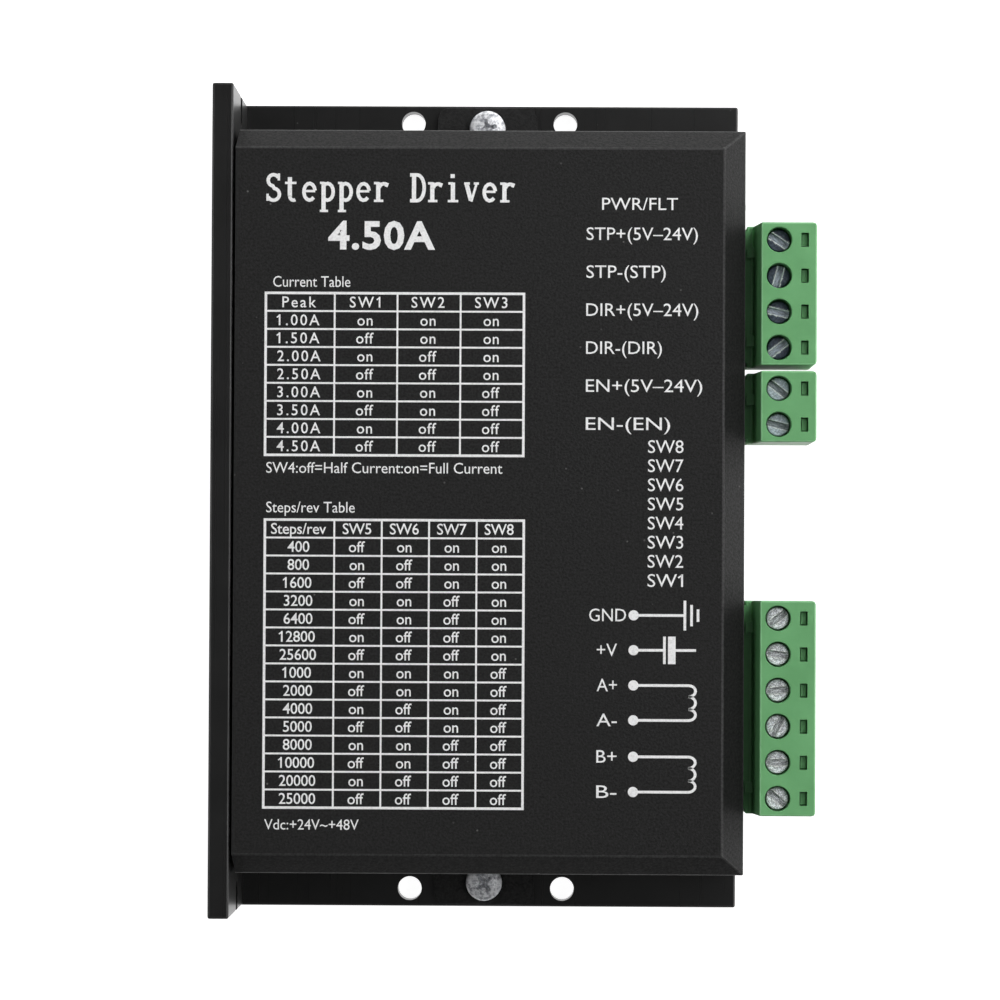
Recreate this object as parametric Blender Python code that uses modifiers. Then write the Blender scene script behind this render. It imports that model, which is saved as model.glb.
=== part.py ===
"""Stepper driver module: L-shaped heatsink, folded cover, circuit board, pluggable screw terminals.

The module lies on the back of its heatsink. +X points to the terminals, +Y to the top of the printed
front, and +Z out of the front. The origin is the centre of the heatsink's back face. Sizes are in
millimetres throughout, and MM turns them into Blender's metres where a shape is made.
"""

import math

import bmesh
import bpy
from mathutils import Matrix, Vector

MM = 0.001
GAP = 0.3  # left between two pieces that touch
SHEET = 1.0  # cover's sheet steel

# Heatsink: a base plate along X and Y, and a side wall that stands on its left edge.
LENGTH = 118.0
WIDTH = 75.5
HEIGHT = 34.0
BASE_THICKNESS = 4.0
WALL_THICKNESS = 3.0
LEFT = -WIDTH / 2
RIGHT = WIDTH / 2
TOP = LENGTH / 2
WALL_INNER = LEFT + WALL_THICKNESS
FIXING_HOLE_RADIUS = 1.75
FIXING_HOLE_X = 1.06
FIXING_HOLE_SPACING = (22.4, 112.8)
NOTCH_DEPTH = 4.5
NOTCH_HEIGHT = HEIGHT / 2

# Cover: outer faces of the sheet, and the widths of its three bevelled edges.
COVER_LEFT = WALL_INNER + 0.35
COVER_SKIRT_LEFT = COVER_LEFT + 0.4
WINDOW_MARGIN = 0.5  # from a plug's pitch length to its window's edge
COVER_HALF_LENGTH = 52.65
COVER_FOOT = BASE_THICKNESS + GAP
BEVEL_HEIGHT = 3.0
BEVEL_SIDE = 3.1
BEVEL_END = 2.75
FOOT_CENTRE_X = 0.8
FOOT_WIDTH = 14.6
FOOT_REACH = 58.6
FOOT_CORNER = 1.8
FOOT_SCREW_Y = 55.4

# Circuit board, on four stand-offs in one with the base.
BOARD_X = (-33.5, 36.0)
BOARD_HALF_LENGTH = 50.5
BOARD_BOTTOM = 15.9
BOARD_TOP = 17.5
STANDOFF_RADIUS = 3.0
BOARD_SCREW_TIP = 10.0
STANDOFF_PLACES = [(x, y) for y in (47.4, -47.4) for x in (-29.5, 27.0)]

# M3 screws, as radii: a tapped hole is wider than the shank's core by the gap all round.
SHANK = 1.2
TAPPED = SHANK + GAP
CLEARANCE = 1.7
PAN_HEAD = (2.65, 2.0)  # radius, height
RECESS = (1.5, 0.32, 1.2)  # cross recess: half length, half width, depth

# Pluggable terminals, 5.08 mm pitch: the centre along Y, the ways, the screw head's height and the
# angle of each screw's slot, counted from the module's top edge down.
PITCH = 5.08
TERMINALS = {
    "signal": (29.55, 4, 30.9, (-33, 75, -13, 38)),
    "enable": (13.6, 2, 30.9, (-38, -14)),
    "power": (-29.0, 6, 31.8, (37, -10, 5, 60, 0, -40)),
}
PLUG_FACE = 47.8
PLUG_BACK = 30.0
PLUG_SHOULDER = 38.2
PLUG_BOTTOM = 18.2
PLUG_TOP = 33.0
PLUG_SLOPE = (39.1, 39.9)  # X at the foot and at the top of its back
FACE_CHAMFER = 0.4
TONGUE = (18.9, 25.2)  # bottom and top of the part that goes into the header
TONGUE_SIDE = 0.75  # from the plug's pitch length to the tongue's side
KEY_RIB = (1.5, 0.5, 1.0)  # width, reach along X past the slope's foot, height over the tongue
SCREW_X = 42.45
SCREW_HEAD_RADIUS = 1.6
SCREW_BORE_RADIUS = 1.78
SCREW_SHOULDER = 29.2
SCREW_TIP = 23.4
SCREW_SLOT = (0.42, 0.8)  # half width, depth
CLAMP_SHAFT = (19.6, 27.2)
CLAMP_SIZE = (4.2, 3.9, 5.5)
CLAMP_ROOF = 1.5
CLAMP_FLOOR = 0.8
CLAMP_SIDE = 0.55
WIRE_ENTRY = (1.6, 20.3, 24.1)  # half width, bottom, top
PROBE_SLOT = (1.0, 45.6, 46.56, 30.5)  # half width, low and high X, floor
PIN_Z = 22.05
PIN_HALF = 0.5
PIN_POCKET = (1.0, 36.6)  # half size, end along X
HEADER_X = (26.3, 37.9)
HEADER_Z = (17.8, 26.3)
HEADER_WALL = 0.8
HEADER_SIDE = 0.7
HEADER_BACK = 1.2
HEADER_END = 0.25  # from the plug's pitch length to the header's end
PIN_X = (24.6, 35.0)
TAIL_BOTTOM = 14.2
TAIL_HOLE_RADIUS = 0.95

# DIP switch, seen through a window in the cover's right wall.
DIP_WAYS = 8
DIP_PITCH = 2.54
DIP_Y = -2.6
DIP_X = (29.8, 36.4)
DIP_Z = (17.8, 27.2)
DIP_HALF_LENGTH = 10.6
DIP_SLOT_Z = (20.55, 24.45)
DIP_SLOT_HALF_WIDTH = 0.75
DIP_SLIDER = (0.45, 1.4)  # half width, height
DIP_SLIDER_X = (33.8, 37.2)
DIP_WINDOW_Z = (18.9, 26.1)
DIP_WINDOW_MARGIN = 0.8

# Status light, lying down, with its dome just past the cover's right wall.
LED_Y = 42.6
LED_Z = 21.8
LED_RADIUS = 1.5
LED_BACK = 33.6
LED_TIP = 38.2

# Power stage under the board: packages on a thermal pad, held by a bar across them.
PACKAGE_Y = (-27.0, -9.0, 9.0, 27.0)
PAD = ((-27.5, -11.0), (-32.5, 32.5), (4.3, 4.8))
BAR = ((-18.6, -13.6), (-38.5, 38.5), (9.9, 11.9))
BAR_SCREW_Y = 35.6

# Parts that stand on the board.
CAPACITOR_PLACES = ((12.0, -22.0), (12.0, -37.0))
CAPACITOR_RADIUS = 6.25
CAPACITOR_HEIGHT = 14.0
CHIP_PLACE = (-8.0, 18.0)
CHIP_SIZE = 12.0
CHIP_HEIGHT = 1.6

BLACK_COAT = (0.018, 0.018, 0.019)
ANODISED = (0.012, 0.012, 0.013)
ZINC = (0.62, 0.63, 0.66)
TERMINAL_GREEN = (0.07, 0.30, 0.10)
BOARD_GREEN = (0.02, 0.16, 0.07)


def clear_scene():
    for thing in list(bpy.data.objects):
        bpy.data.objects.remove(thing, do_unlink=True)


def make_collection(name):
    collection = bpy.data.collections.new(name)
    bpy.context.scene.collection.children.link(collection)
    return collection


clear_scene()
PARTS = make_collection("stepper_driver")
CUTTERS = make_collection("cutters")
ASSEMBLY = bpy.data.objects.new("stepper_driver_assembly", None)
PARTS.objects.link(ASSEMBLY)


# Shapes. Each one goes into a bmesh, in millimetres of the object's own frame.


def add_box(bm, x, y, z):
    """A box given by its low and high end along each axis."""
    spans = (x, y, z)
    centre = Vector([(low + high) / 2 for low, high in spans]) * MM
    size = [(high - low) * MM for low, high in spans]
    matrix = Matrix.Translation(centre) @ Matrix.Diagonal((*size, 1.0))
    bmesh.ops.create_cube(bm, size=1.0, matrix=matrix)


def add_cylinder(bm, radius, centre, span, axis="Z", segments=16):
    """A cylinder along axis over span. centre holds its other two coordinates, in X, Y, Z order."""
    middle = (span[0] + span[1]) / 2
    if axis == "X":
        place, turn = (middle, *centre), Matrix.Rotation(math.pi / 2, 4, "Y")
    else:
        place, turn = (*centre, middle), Matrix.Identity(4)
    bmesh.ops.create_cone(
        bm,
        cap_ends=True,
        segments=segments,
        radius1=radius * MM,
        radius2=radius * MM,
        depth=(span[1] - span[0]) * MM,
        matrix=Matrix.Translation(Vector(place) * MM) @ turn,
    )


def add_prism(bm, outline, span, axis):
    """A flat outline drawn out along axis. Its points hold the other two coordinates, in order."""
    index = "XYZ".index(axis)

    def place(point, along):
        coordinates = list(point)
        coordinates.insert(index, along)
        return Vector(coordinates) * MM

    face = bm.faces.new([bm.verts.new(place(point, span[0])) for point in outline])
    grown = bmesh.ops.extrude_face_region(bm, geom=[face], use_keep_orig=True)["geom"]
    far_side = [part for part in grown if isinstance(part, bmesh.types.BMVert)]
    shift = place((0, 0), span[1]) - place((0, 0), span[0])
    bmesh.ops.translate(bm, verts=far_side, vec=shift)
    bmesh.ops.recalc_face_normals(bm, faces=bm.faces)


def corner_arc(centre, radius, start, steps=4):
    """Points of a quarter circle that starts at the angle start, in degrees, and runs anticlockwise."""
    angles = [math.radians(start + 90 * step / steps) for step in range(steps + 1)]
    return [(centre[0] + radius * math.cos(a), centre[1] + radius * math.sin(a)) for a in angles]


# Objects. Each helper that draws is called with the bmesh to draw into.


def build_mesh(name, draw, collection, parent=None):
    bm = bmesh.new()
    draw(bm)
    mesh = bpy.data.meshes.new(name)
    bm.to_mesh(mesh)
    bm.free()
    obj = bpy.data.objects.new(name, mesh)
    collection.objects.link(obj)
    obj.parent = parent
    return obj


def make_part(name, draw, colour, roughness, metallic=0.0, place=(0, 0, 0), parent=ASSEMBLY):
    """One sub-part with its own material. place is its origin in its parent's frame."""
    obj = build_mesh(name, draw, PARTS, parent)
    obj.location = Vector(place) * MM
    set_material(obj, colour, roughness, metallic)
    return obj


def set_material(obj, colour, roughness, metallic):
    material = bpy.data.materials.new(obj.name)
    material.use_nodes = True
    shader = material.node_tree.nodes["Principled BSDF"]
    shader.inputs["Base Color"].default_value = (*colour, 1.0)
    shader.inputs["Roughness"].default_value = roughness
    shader.inputs["Metallic"].default_value = metallic
    obj.data.materials.append(material)


def combine(target, name, draw, operation):
    """A Boolean with a hidden tool, drawn in the target's own frame."""
    tool = build_mesh(f"{target.name}_{name}", draw, CUTTERS, target)
    tool.hide_render = True
    tool.display_type = "WIRE"
    modifier = target.modifiers.new(name, "BOOLEAN")
    modifier.operation = operation
    modifier.solver = "EXACT"
    modifier.object = tool


def cut(target, name, draw):
    combine(target, name, draw, "DIFFERENCE")


def join(target, name, draw):
    combine(target, name, draw, "UNION")


def turned(name, profile, colour, roughness, metallic, place, parent=ASSEMBLY, steps=16):
    """A profile of (radius, height) points, from the axis at the top to the axis below, turned about Z."""

    def draw(bm):
        points = [bm.verts.new(Vector((radius, 0, height)) * MM) for radius, height in profile]
        for first, second in zip(points, points[1:]):
            bm.edges.new((first, second))

    obj = make_part(name, draw, colour, roughness, metallic, place, parent)
    screw = obj.modifiers.new("turn", "SCREW")
    screw.steps = steps
    screw.render_steps = steps
    screw.use_merge_vertices = True
    screw.merge_threshold = 0.01 * MM
    screw.use_smooth_shade = False
    return obj


def pan_head_screw(name, x, y, seat, tip):
    """A cross recess M3 screw: seat is the height of the head's underside, tip of the shank's end."""
    radius, height = PAN_HEAD
    crown = [(0.0, height), (radius * 0.55, height - 0.12), (radius, height - 1.0), (radius, 0.0)]
    end = [(SHANK, 0.0), (SHANK, tip - seat + 0.4), (SHANK - 0.4, tip - seat), (0.0, tip - seat)]
    screw = turned(name, crown + end, ZINC, 0.32, 1.0, (x, y, seat))
    along, across = (-RECESS[0], RECESS[0]), (-RECESS[1], RECESS[1])
    depth = (height - RECESS[2], height + 1)
    cut(screw, "recess_x", lambda bm: add_box(bm, along, across, depth))
    cut(screw, "recess_y", lambda bm: add_box(bm, across, along, depth))


# Heatsink and cover


def heatsink():
    def profile(bm):
        outline = [
            (LEFT, 0),
            (RIGHT, 0),
            (RIGHT, BASE_THICKNESS),
            (WALL_INNER, BASE_THICKNESS),
            (WALL_INNER, HEIGHT),
            (LEFT, HEIGHT),
        ]
        add_prism(bm, outline, (-TOP, TOP), "Y")

    def standoffs(bm):
        for x, y in STANDOFF_PLACES:
            span = (BASE_THICKNESS - 1, BOARD_BOTTOM - GAP)
            add_cylinder(bm, STANDOFF_RADIUS, (x, y), span)

    def standoff_holes(bm):
        for x, y in STANDOFF_PLACES:
            add_cylinder(bm, TAPPED, (x, y), (9.5, BOARD_BOTTOM))

    def fixing_holes(bm):
        for side in (-1, 1):
            for end in (-1, 1):
                x = FIXING_HOLE_X + side * FIXING_HOLE_SPACING[0] / 2
                y = end * FIXING_HOLE_SPACING[1] / 2
                add_cylinder(bm, FIXING_HOLE_RADIUS, (x, y), (-1, BASE_THICKNESS + 1), segments=20)

    def cover_screw_holes(bm):
        for y in (-FOOT_SCREW_Y, FOOT_SCREW_Y):
            add_cylinder(bm, TAPPED, (FOOT_CENTRE_X, y), (-1, BASE_THICKNESS + 1))

    def bar_screw_holes(bm):
        for y in (-BAR_SCREW_Y, BAR_SCREW_Y):
            add_cylinder(bm, TAPPED, (sum(BAR[0]) / 2, y), (1.2, BASE_THICKNESS + 1))

    def wall_notches(bm):
        """A slot open at each end of the wall, round at its inner end."""
        radius = FIXING_HOLE_RADIUS
        centre = TOP - NOTCH_DEPTH + radius
        for end in (-1, 1):
            arc = corner_arc((-centre, NOTCH_HEIGHT), radius, 270)
            arc += corner_arc((-centre, NOTCH_HEIGHT), radius, 0)[1:]
            mouth = [(-TOP - 1, NOTCH_HEIGHT + radius), (-TOP - 1, NOTCH_HEIGHT - radius)]
            outline = [(-end * y, z) for y, z in arc + mouth]
            add_prism(bm, outline, (LEFT - 1, WALL_INNER + 1), "X")

    sink = make_part("heatsink", profile, ANODISED, 0.42, 0.6)
    join(sink, "standoffs", standoffs)
    cut(sink, "standoff_holes", standoff_holes)
    cut(sink, "fixing_holes", fixing_holes)
    cut(sink, "cover_screw_holes", cover_screw_holes)
    cut(sink, "bar_screw_holes", bar_screw_holes)
    cut(sink, "wall_notches", wall_notches)


def add_bevelled_box(bm, left, skirt_left, right, half_length, foot, brow, front, side, end):
    """A box up to the height brow, drawn in by side and end on three edges at the front."""
    add_box(bm, (skirt_left, right), (-half_length, half_length), (foot, brow))
    lid = max(bm.faces, key=lambda face: face.calc_center_median().z)
    grown = bmesh.ops.extrude_face_region(bm, geom=[lid])["geom"]
    bmesh.ops.delete(bm, geom=[lid], context="FACES_ONLY")
    for vertex in (part for part in grown if isinstance(part, bmesh.types.BMVert)):
        on_right = vertex.co.x > 0
        vertex.co.x = (right - side if on_right else left) * MM
        vertex.co.y = math.copysign(half_length - end, vertex.co.y) * MM
        vertex.co.z = front * MM
    bmesh.ops.recalc_face_normals(bm, faces=bm.faces)


def window_span(label):
    """Low and high end along Y of a header's window."""
    centre, ways, _, _ = TERMINALS[label]
    half = ways * PITCH / 2 + WINDOW_MARGIN
    return centre - half, centre + half


def cover():
    brow = HEIGHT - BEVEL_HEIGHT

    def outside(bm):
        add_bevelled_box(
            bm, COVER_LEFT, COVER_SKIRT_LEFT, RIGHT, COVER_HALF_LENGTH,
            COVER_FOOT, brow, HEIGHT, BEVEL_SIDE, BEVEL_END,
        )

    def foot_tabs(bm):
        """The sheet folded outwards at each end, with two round corners."""
        half = FOOT_WIDTH / 2
        for end in (-1, 1):
            left_corner = (FOOT_CENTRE_X - half + FOOT_CORNER, FOOT_REACH - FOOT_CORNER)
            right_corner = (FOOT_CENTRE_X + half - FOOT_CORNER, FOOT_REACH - FOOT_CORNER)
            root = COVER_HALF_LENGTH - SHEET / 2
            outline = corner_arc(right_corner, FOOT_CORNER, 0) + corner_arc(left_corner, FOOT_CORNER, 90)
            outline += [(FOOT_CENTRE_X - half, root), (FOOT_CENTRE_X + half, root)]
            outline = [(x, end * y) for x, y in outline]
            add_prism(bm, outline, (COVER_FOOT, COVER_FOOT + SHEET), "Z")

    def inside(bm):
        """The hollow: it runs out of the left side and the foot, where the heatsink closes it."""
        fold = SHEET * math.tan(math.radians(22.5))
        add_bevelled_box(
            bm, COVER_LEFT - 5, COVER_LEFT - 5, RIGHT - SHEET, COVER_HALF_LENGTH - SHEET,
            COVER_FOOT - 1, brow - fold, HEIGHT - SHEET, BEVEL_SIDE - fold, BEVEL_END - fold,
        )

    def windows(bm):
        wall = (RIGHT - SHEET - 1, RIGHT + 1)
        height = (BOARD_TOP, HEADER_Z[1] + GAP)
        add_box(bm, wall, (window_span("enable")[0], window_span("signal")[1]), height)
        add_box(bm, wall, window_span("power"), height)
        half = DIP_PITCH * (DIP_WAYS - 1) / 2 + DIP_WINDOW_MARGIN
        add_box(bm, wall, (DIP_Y - half, DIP_Y + half), DIP_WINDOW_Z)
        add_cylinder(bm, LED_RADIUS + 0.2, (LED_Y, LED_Z), wall, axis="X")

    def foot_holes(bm):
        for y in (-FOOT_SCREW_Y, FOOT_SCREW_Y):
            add_cylinder(bm, CLEARANCE, (FOOT_CENTRE_X, y), (COVER_FOOT - 1, COVER_FOOT + SHEET + 1))

    shell = make_part("cover", outside, BLACK_COAT, 0.62)
    cut(shell, "hollow", inside)
    join(shell, "foot_tabs", foot_tabs)
    cut(shell, "windows", windows)
    cut(shell, "foot_holes", foot_holes)
    for name, y in (("cover_screw_top", FOOT_SCREW_Y), ("cover_screw_bottom", -FOOT_SCREW_Y)):
        pan_head_screw(name, FOOT_CENTRE_X, y, COVER_FOOT + SHEET + GAP, 0.6)


# Circuit board and what stands on it


def way_places(centre, ways):
    """Y of each way, counted from the module's top edge down."""
    return [centre + PITCH * ((ways - 1) / 2 - way) for way in range(ways)]


def main_board():
    def plate(bm):
        add_box(bm, BOARD_X, (-BOARD_HALF_LENGTH, BOARD_HALF_LENGTH), (BOARD_BOTTOM, BOARD_TOP))

    def screw_holes(bm):
        for place in STANDOFF_PLACES:
            add_cylinder(bm, CLEARANCE, place, (BOARD_BOTTOM - 1, BOARD_TOP + 1))

    def tail_holes(bm):
        for centre, ways, _, _ in TERMINALS.values():
            for y in way_places(centre, ways):
                span = (BOARD_BOTTOM - 1, BOARD_TOP + 1)
                add_cylinder(bm, TAIL_HOLE_RADIUS, (PIN_X[0] + PIN_HALF, y), span, segments=12)

    board = make_part("main_board", plate, BOARD_GREEN, 0.45)
    cut(board, "screw_holes", screw_holes)
    cut(board, "tail_holes", tail_holes)
    for number, (x, y) in enumerate(STANDOFF_PLACES, start=1):
        pan_head_screw(f"board_screw_{number}", x, y, BOARD_TOP + GAP, BOARD_SCREW_TIP)


def header(label):
    """A board header: an open box on its side, with a bent pin for each way."""
    centre, ways, _, _ = TERMINALS[label]
    places = way_places(0.0, ways)
    half = ways * PITCH / 2 + HEADER_END
    bottom, top = HEADER_Z

    def block(bm):
        add_box(bm, HEADER_X, (-half, half), HEADER_Z)

    def mouth(bm):
        inner = half - HEADER_SIDE
        depth = (HEADER_X[0] + HEADER_BACK, HEADER_X[1] + 1)
        add_box(bm, depth, (-inner, inner), (bottom + HEADER_WALL, top - HEADER_WALL))

    def pins(bm):
        height = (PIN_Z - PIN_HALF, PIN_Z + PIN_HALF)
        for y in places:
            add_box(bm, PIN_X, (y - PIN_HALF, y + PIN_HALF), height)

    def tails(bm):
        tail = (PIN_X[0], PIN_X[0] + 2 * PIN_HALF)
        for y in places:
            add_box(bm, tail, (y - PIN_HALF, y + PIN_HALF), (TAIL_BOTTOM, PIN_Z))

    body = make_part(f"{label}_header", block, TERMINAL_GREEN, 0.45, place=(0, centre, 0))
    cut(body, "mouth", mouth)
    join(body, "pins", pins)
    join(body, "tails", tails)


def dip_switch():
    first = DIP_Y + DIP_PITCH * (DIP_WAYS - 1) / 2
    places = [first - DIP_PITCH * way for way in range(DIP_WAYS)]

    def block(bm):
        add_box(bm, DIP_X, (DIP_Y - DIP_HALF_LENGTH, DIP_Y + DIP_HALF_LENGTH), DIP_Z)

    def slots(bm):
        for y in places:
            sides = (y - DIP_SLOT_HALF_WIDTH, y + DIP_SLOT_HALF_WIDTH)
            add_box(bm, (DIP_SLIDER_X[0] - GAP, DIP_X[1] + 1), sides, DIP_SLOT_Z)

    body = make_part("dip_body", block, (0.55, 0.03, 0.02), 0.4)
    cut(body, "slots", slots)

    half_width, height = DIP_SLIDER
    rest = DIP_SLOT_Z[0] + GAP

    def knob(bm):
        depth = (DIP_SLIDER_X[0] - DIP_SLIDER_X[1], 0)
        add_box(bm, depth, (-half_width, half_width), (0, height))

    for way, y in enumerate(places):
        name = f"dip_slider_{DIP_WAYS - way}"
        make_part(name, knob, (0.8, 0.8, 0.78), 0.4, place=(DIP_SLIDER_X[1], y, rest))


def status_led():
    """A 3 mm light lying along X: its own Z points out of the cover, and its own X points down."""
    length = LED_TIP - LED_BACK
    neck = length - LED_RADIUS
    dome = [(LED_RADIUS * math.sin(a), neck + LED_RADIUS * math.cos(a)) for a in
            [math.radians(90 * step / 4) for step in range(5)]]
    profile = dome + [(LED_RADIUS, 0.0), (0.0, 0.0)]
    light = turned("status_led", profile, (0.75, 0.85, 0.75), 0.15, 0.0, (LED_BACK, LED_Y, LED_Z))
    light.rotation_euler = (0, math.pi / 2, 0)
    drop = LED_Z - BOARD_TOP - GAP

    def leads(bm):
        for side in (-1, 1):
            y = side * 0.75
            add_box(bm, (-0.25, 0.25), (y - 0.25, y + 0.25), (-2.0, 0.5))

    def legs(bm):
        for side in (-1, 1):
            y = side * 0.75
            add_box(bm, (-0.2, drop), (y - 0.25, y + 0.25), (-2.0, -1.5))

    join(light, "leads", leads)
    join(light, "legs", legs)


def board_parts():
    foot = BOARD_TOP + GAP
    rim = CAPACITOR_RADIUS
    can = [(0.0, CAPACITOR_HEIGHT), (rim - 0.5, CAPACITOR_HEIGHT), (rim, CAPACITOR_HEIGHT - 0.5)]
    groove = [(rim, 2.6), (rim - 0.5, 2.1), (rim, 1.6), (rim, 0.0), (0.0, 0.0)]
    for number, (x, y) in enumerate(CAPACITOR_PLACES, start=1):
        name = f"bulk_capacitor_{number}"
        turned(name, can + groove, (0.02, 0.03, 0.09), 0.4, 0.0, (x, y, foot), steps=20)

    def chip(bm):
        half = CHIP_SIZE / 2
        add_box(bm, (-half, half), (-half, half), (0, CHIP_HEIGHT))

    make_part("controller_chip", chip, (0.02, 0.02, 0.02), 0.5, place=(*CHIP_PLACE, foot))


# Power stage between the base and the board


def half_bridge(name, y):
    """A power package lying on its metal tab, with three legs bent up to the board."""
    low = PAD[2][1] + GAP
    body_x = (-20.5, -11.7)
    tab_x = (-26.9, -20.0)
    leg_z = (low + 2.1, low + 2.7)
    legs = (-2.54, 0.0, 2.54)

    def block(bm):
        add_box(bm, body_x, (-5, 5), (low, low + 4.5))

    def tab(bm):
        add_box(bm, tab_x, (-5, 5), (low, low + 1.3))

    def tab_hole(bm):
        add_cylinder(bm, 1.8, (-23.6, 0), (low - 1, low + 2))

    def flat_legs(bm):
        for leg in legs:
            add_box(bm, (body_x[1] - 1, -8.2), (leg - 0.4, leg + 0.4), leg_z)

    def upright_legs(bm):
        for leg in legs:
            upright = (leg_z[0] + 0.1, BOARD_BOTTOM - GAP)
            add_box(bm, (-8.8, -8.2), (leg - 0.4, leg + 0.4), upright)

    package = make_part(name, block, (0.02, 0.02, 0.02), 0.5, place=(0, y, 0))
    join(package, "tab", tab)
    cut(package, "tab_hole", tab_hole)
    join(package, "flat_legs", flat_legs)
    join(package, "upright_legs", upright_legs)


def power_stage():
    for number, y in enumerate(PACKAGE_Y, start=1):
        half_bridge(f"half_bridge_{number}", y)

    make_part("thermal_pad", lambda bm: add_box(bm, *PAD), (0.45, 0.47, 0.5), 0.8)
    bar = make_part("clamp_bar", lambda bm: add_box(bm, *BAR), (0.6, 0.6, 0.62), 0.35, 1.0)
    x = sum(BAR[0]) / 2

    def bar_holes(bm):
        for y in (-BAR_SCREW_Y, BAR_SCREW_Y):
            add_cylinder(bm, CLEARANCE, (x, y), (BAR[2][0] - 1, BAR[2][1] + 1))

    cut(bar, "bar_holes", bar_holes)
    for number, y in enumerate((BAR_SCREW_Y, -BAR_SCREW_Y), start=1):
        pan_head_screw(f"clamp_bar_screw_{number}", x, y, BAR[2][1] + GAP, 1.6)


# Pluggable terminals


def plug_housing(label):
    centre, ways, _, _ = TERMINALS[label]
    places = way_places(0.0, ways)
    half = ways * PITCH / 2
    shaft_half = (CLAMP_SIZE[0] / 2 + 0.35, CLAMP_SIZE[1] / 2 + GAP)

    def tower(bm):
        outline = [
            (PLUG_SHOULDER, PLUG_BOTTOM),
            (PLUG_FACE, PLUG_BOTTOM),
            (PLUG_FACE, PLUG_TOP - FACE_CHAMFER),
            (PLUG_FACE - FACE_CHAMFER, PLUG_TOP),
            (PLUG_SLOPE[1], PLUG_TOP),
            (PLUG_SLOPE[0], TONGUE[1]),
            (PLUG_SHOULDER, TONGUE[1]),
        ]
        add_prism(bm, outline, (-half + 0.05, half - 0.05), "Y")

    def tongue(bm):
        side = half - TONGUE_SIDE
        add_box(bm, (PLUG_BACK, PLUG_SHOULDER + 1), (-side, side), TONGUE)

    def key_ribs(bm):
        """Small ribs at the shoulder, beside the first way and, on a long plug, the last."""
        width, reach, rise = KEY_RIB
        for y in (places[0] - 1.3, places[-1] + 1.3)[: 1 if ways < 3 else 2]:
            x = (PLUG_SHOULDER, PLUG_SLOPE[0] + reach)
            add_box(bm, x, (y - width / 2, y + width / 2), (TONGUE[1] - GAP, TONGUE[1] + rise))

    def screw_bores(bm):
        for y in places:
            add_cylinder(bm, SCREW_BORE_RADIUS, (SCREW_X, y), (SCREW_SHOULDER, PLUG_TOP + 1))

    def shank_bores(bm):
        for y in places:
            span = (CLAMP_SHAFT[1] - 1, SCREW_SHOULDER + 0.5)
            add_cylinder(bm, SHANK + GAP, (SCREW_X, y), span, segments=12)

    def clamp_shafts(bm):
        for y in places:
            x = (SCREW_X - shaft_half[0], SCREW_X + shaft_half[0])
            add_box(bm, x, (y - shaft_half[1], y + shaft_half[1]), CLAMP_SHAFT)

    def wire_entries(bm):
        half_width, *height = WIRE_ENTRY
        for y in places:
            add_box(bm, (SCREW_X + 1, PLUG_FACE + 1), (y - half_width, y + half_width), height)

    def pin_pockets(bm):
        half_size, end = PIN_POCKET
        height = (PIN_Z - half_size, PIN_Z + half_size)
        for y in places:
            add_box(bm, (PLUG_BACK - 1, end), (y - half_size, y + half_size), height)

    def probe_slots(bm):
        half_width, low, high, floor = PROBE_SLOT
        for y in places:
            add_box(bm, (low, high), (y - half_width, y + half_width), (floor, PLUG_TOP + 1))

    name = f"{label}_plug"
    plug = make_part(name, tower, TERMINAL_GREEN, 0.42, place=(0, centre, 0))
    join(plug, "tongue", tongue)
    join(plug, "key_ribs", key_ribs)
    for cutter in (screw_bores, shank_bores, clamp_shafts, wire_entries, pin_pockets, probe_slots):
        cut(plug, cutter.__name__, cutter)
    return plug


def terminal_screw(name, plug, y, head_top, angle):
    """A slotted screw, held in the plug, that turns in place and draws the clamp up its shank."""
    bottom = SCREW_SHOULDER + GAP
    height = head_top - bottom
    tip = SCREW_TIP - bottom
    head = [(0.0, height), (SCREW_HEAD_RADIUS - 0.2, height), (SCREW_HEAD_RADIUS, height - 0.2)]
    shank = [(SCREW_HEAD_RADIUS, 0.0), (SHANK, 0.0), (SHANK, tip), (0.0, tip)]
    screw = turned(name, head + shank, ZINC, 0.3, 1.0, (SCREW_X, y, bottom), plug, steps=14)
    screw.rotation_euler = (0, 0, math.radians(angle))
    half_width, depth = SCREW_SLOT
    slot = (-half_width, half_width), (height - depth, height + 1)
    cut(screw, "slot", lambda bm: add_box(bm, (-2 * SCREW_HEAD_RADIUS, 2 * SCREW_HEAD_RADIUS), *slot))


def wire_clamp(name, plug, y):
    """A rising cage: a box open along X, with the screw through its roof."""
    x, y_size, z_size = CLAMP_SIZE
    bottom = CLAMP_SHAFT[0] + GAP
    side = y_size / 2 - CLAMP_SIDE
    mouth_height = (CLAMP_FLOOR, z_size - CLAMP_ROOF)

    def cage(bm):
        add_box(bm, (-x / 2, x / 2), (-y_size / 2, y_size / 2), (0, z_size))

    clamp = make_part(name, cage, (0.7, 0.66, 0.5), 0.35, 1.0, (SCREW_X, y, bottom), plug)
    cut(clamp, "mouth", lambda bm: add_box(bm, (-x, x), (-side, side), mouth_height))
    hole = (z_size - CLAMP_ROOF - 1, z_size + 1)
    cut(clamp, "thread", lambda bm: add_cylinder(bm, SHANK + GAP, (0, 0), hole, segments=12))


def terminals():
    for label, (_, ways, head_top, angles) in TERMINALS.items():
        header(label)
        plug = plug_housing(label)
        for number, (y, angle) in enumerate(zip(way_places(0.0, ways), angles), start=1):
            terminal_screw(f"{label}_screw_{number}", plug, y, head_top, angle)
            wire_clamp(f"{label}_clamp_{number}", plug, y)


heatsink()
cover()
main_board()
board_parts()
dip_switch()
status_led()
power_stage()
terminals()
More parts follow.
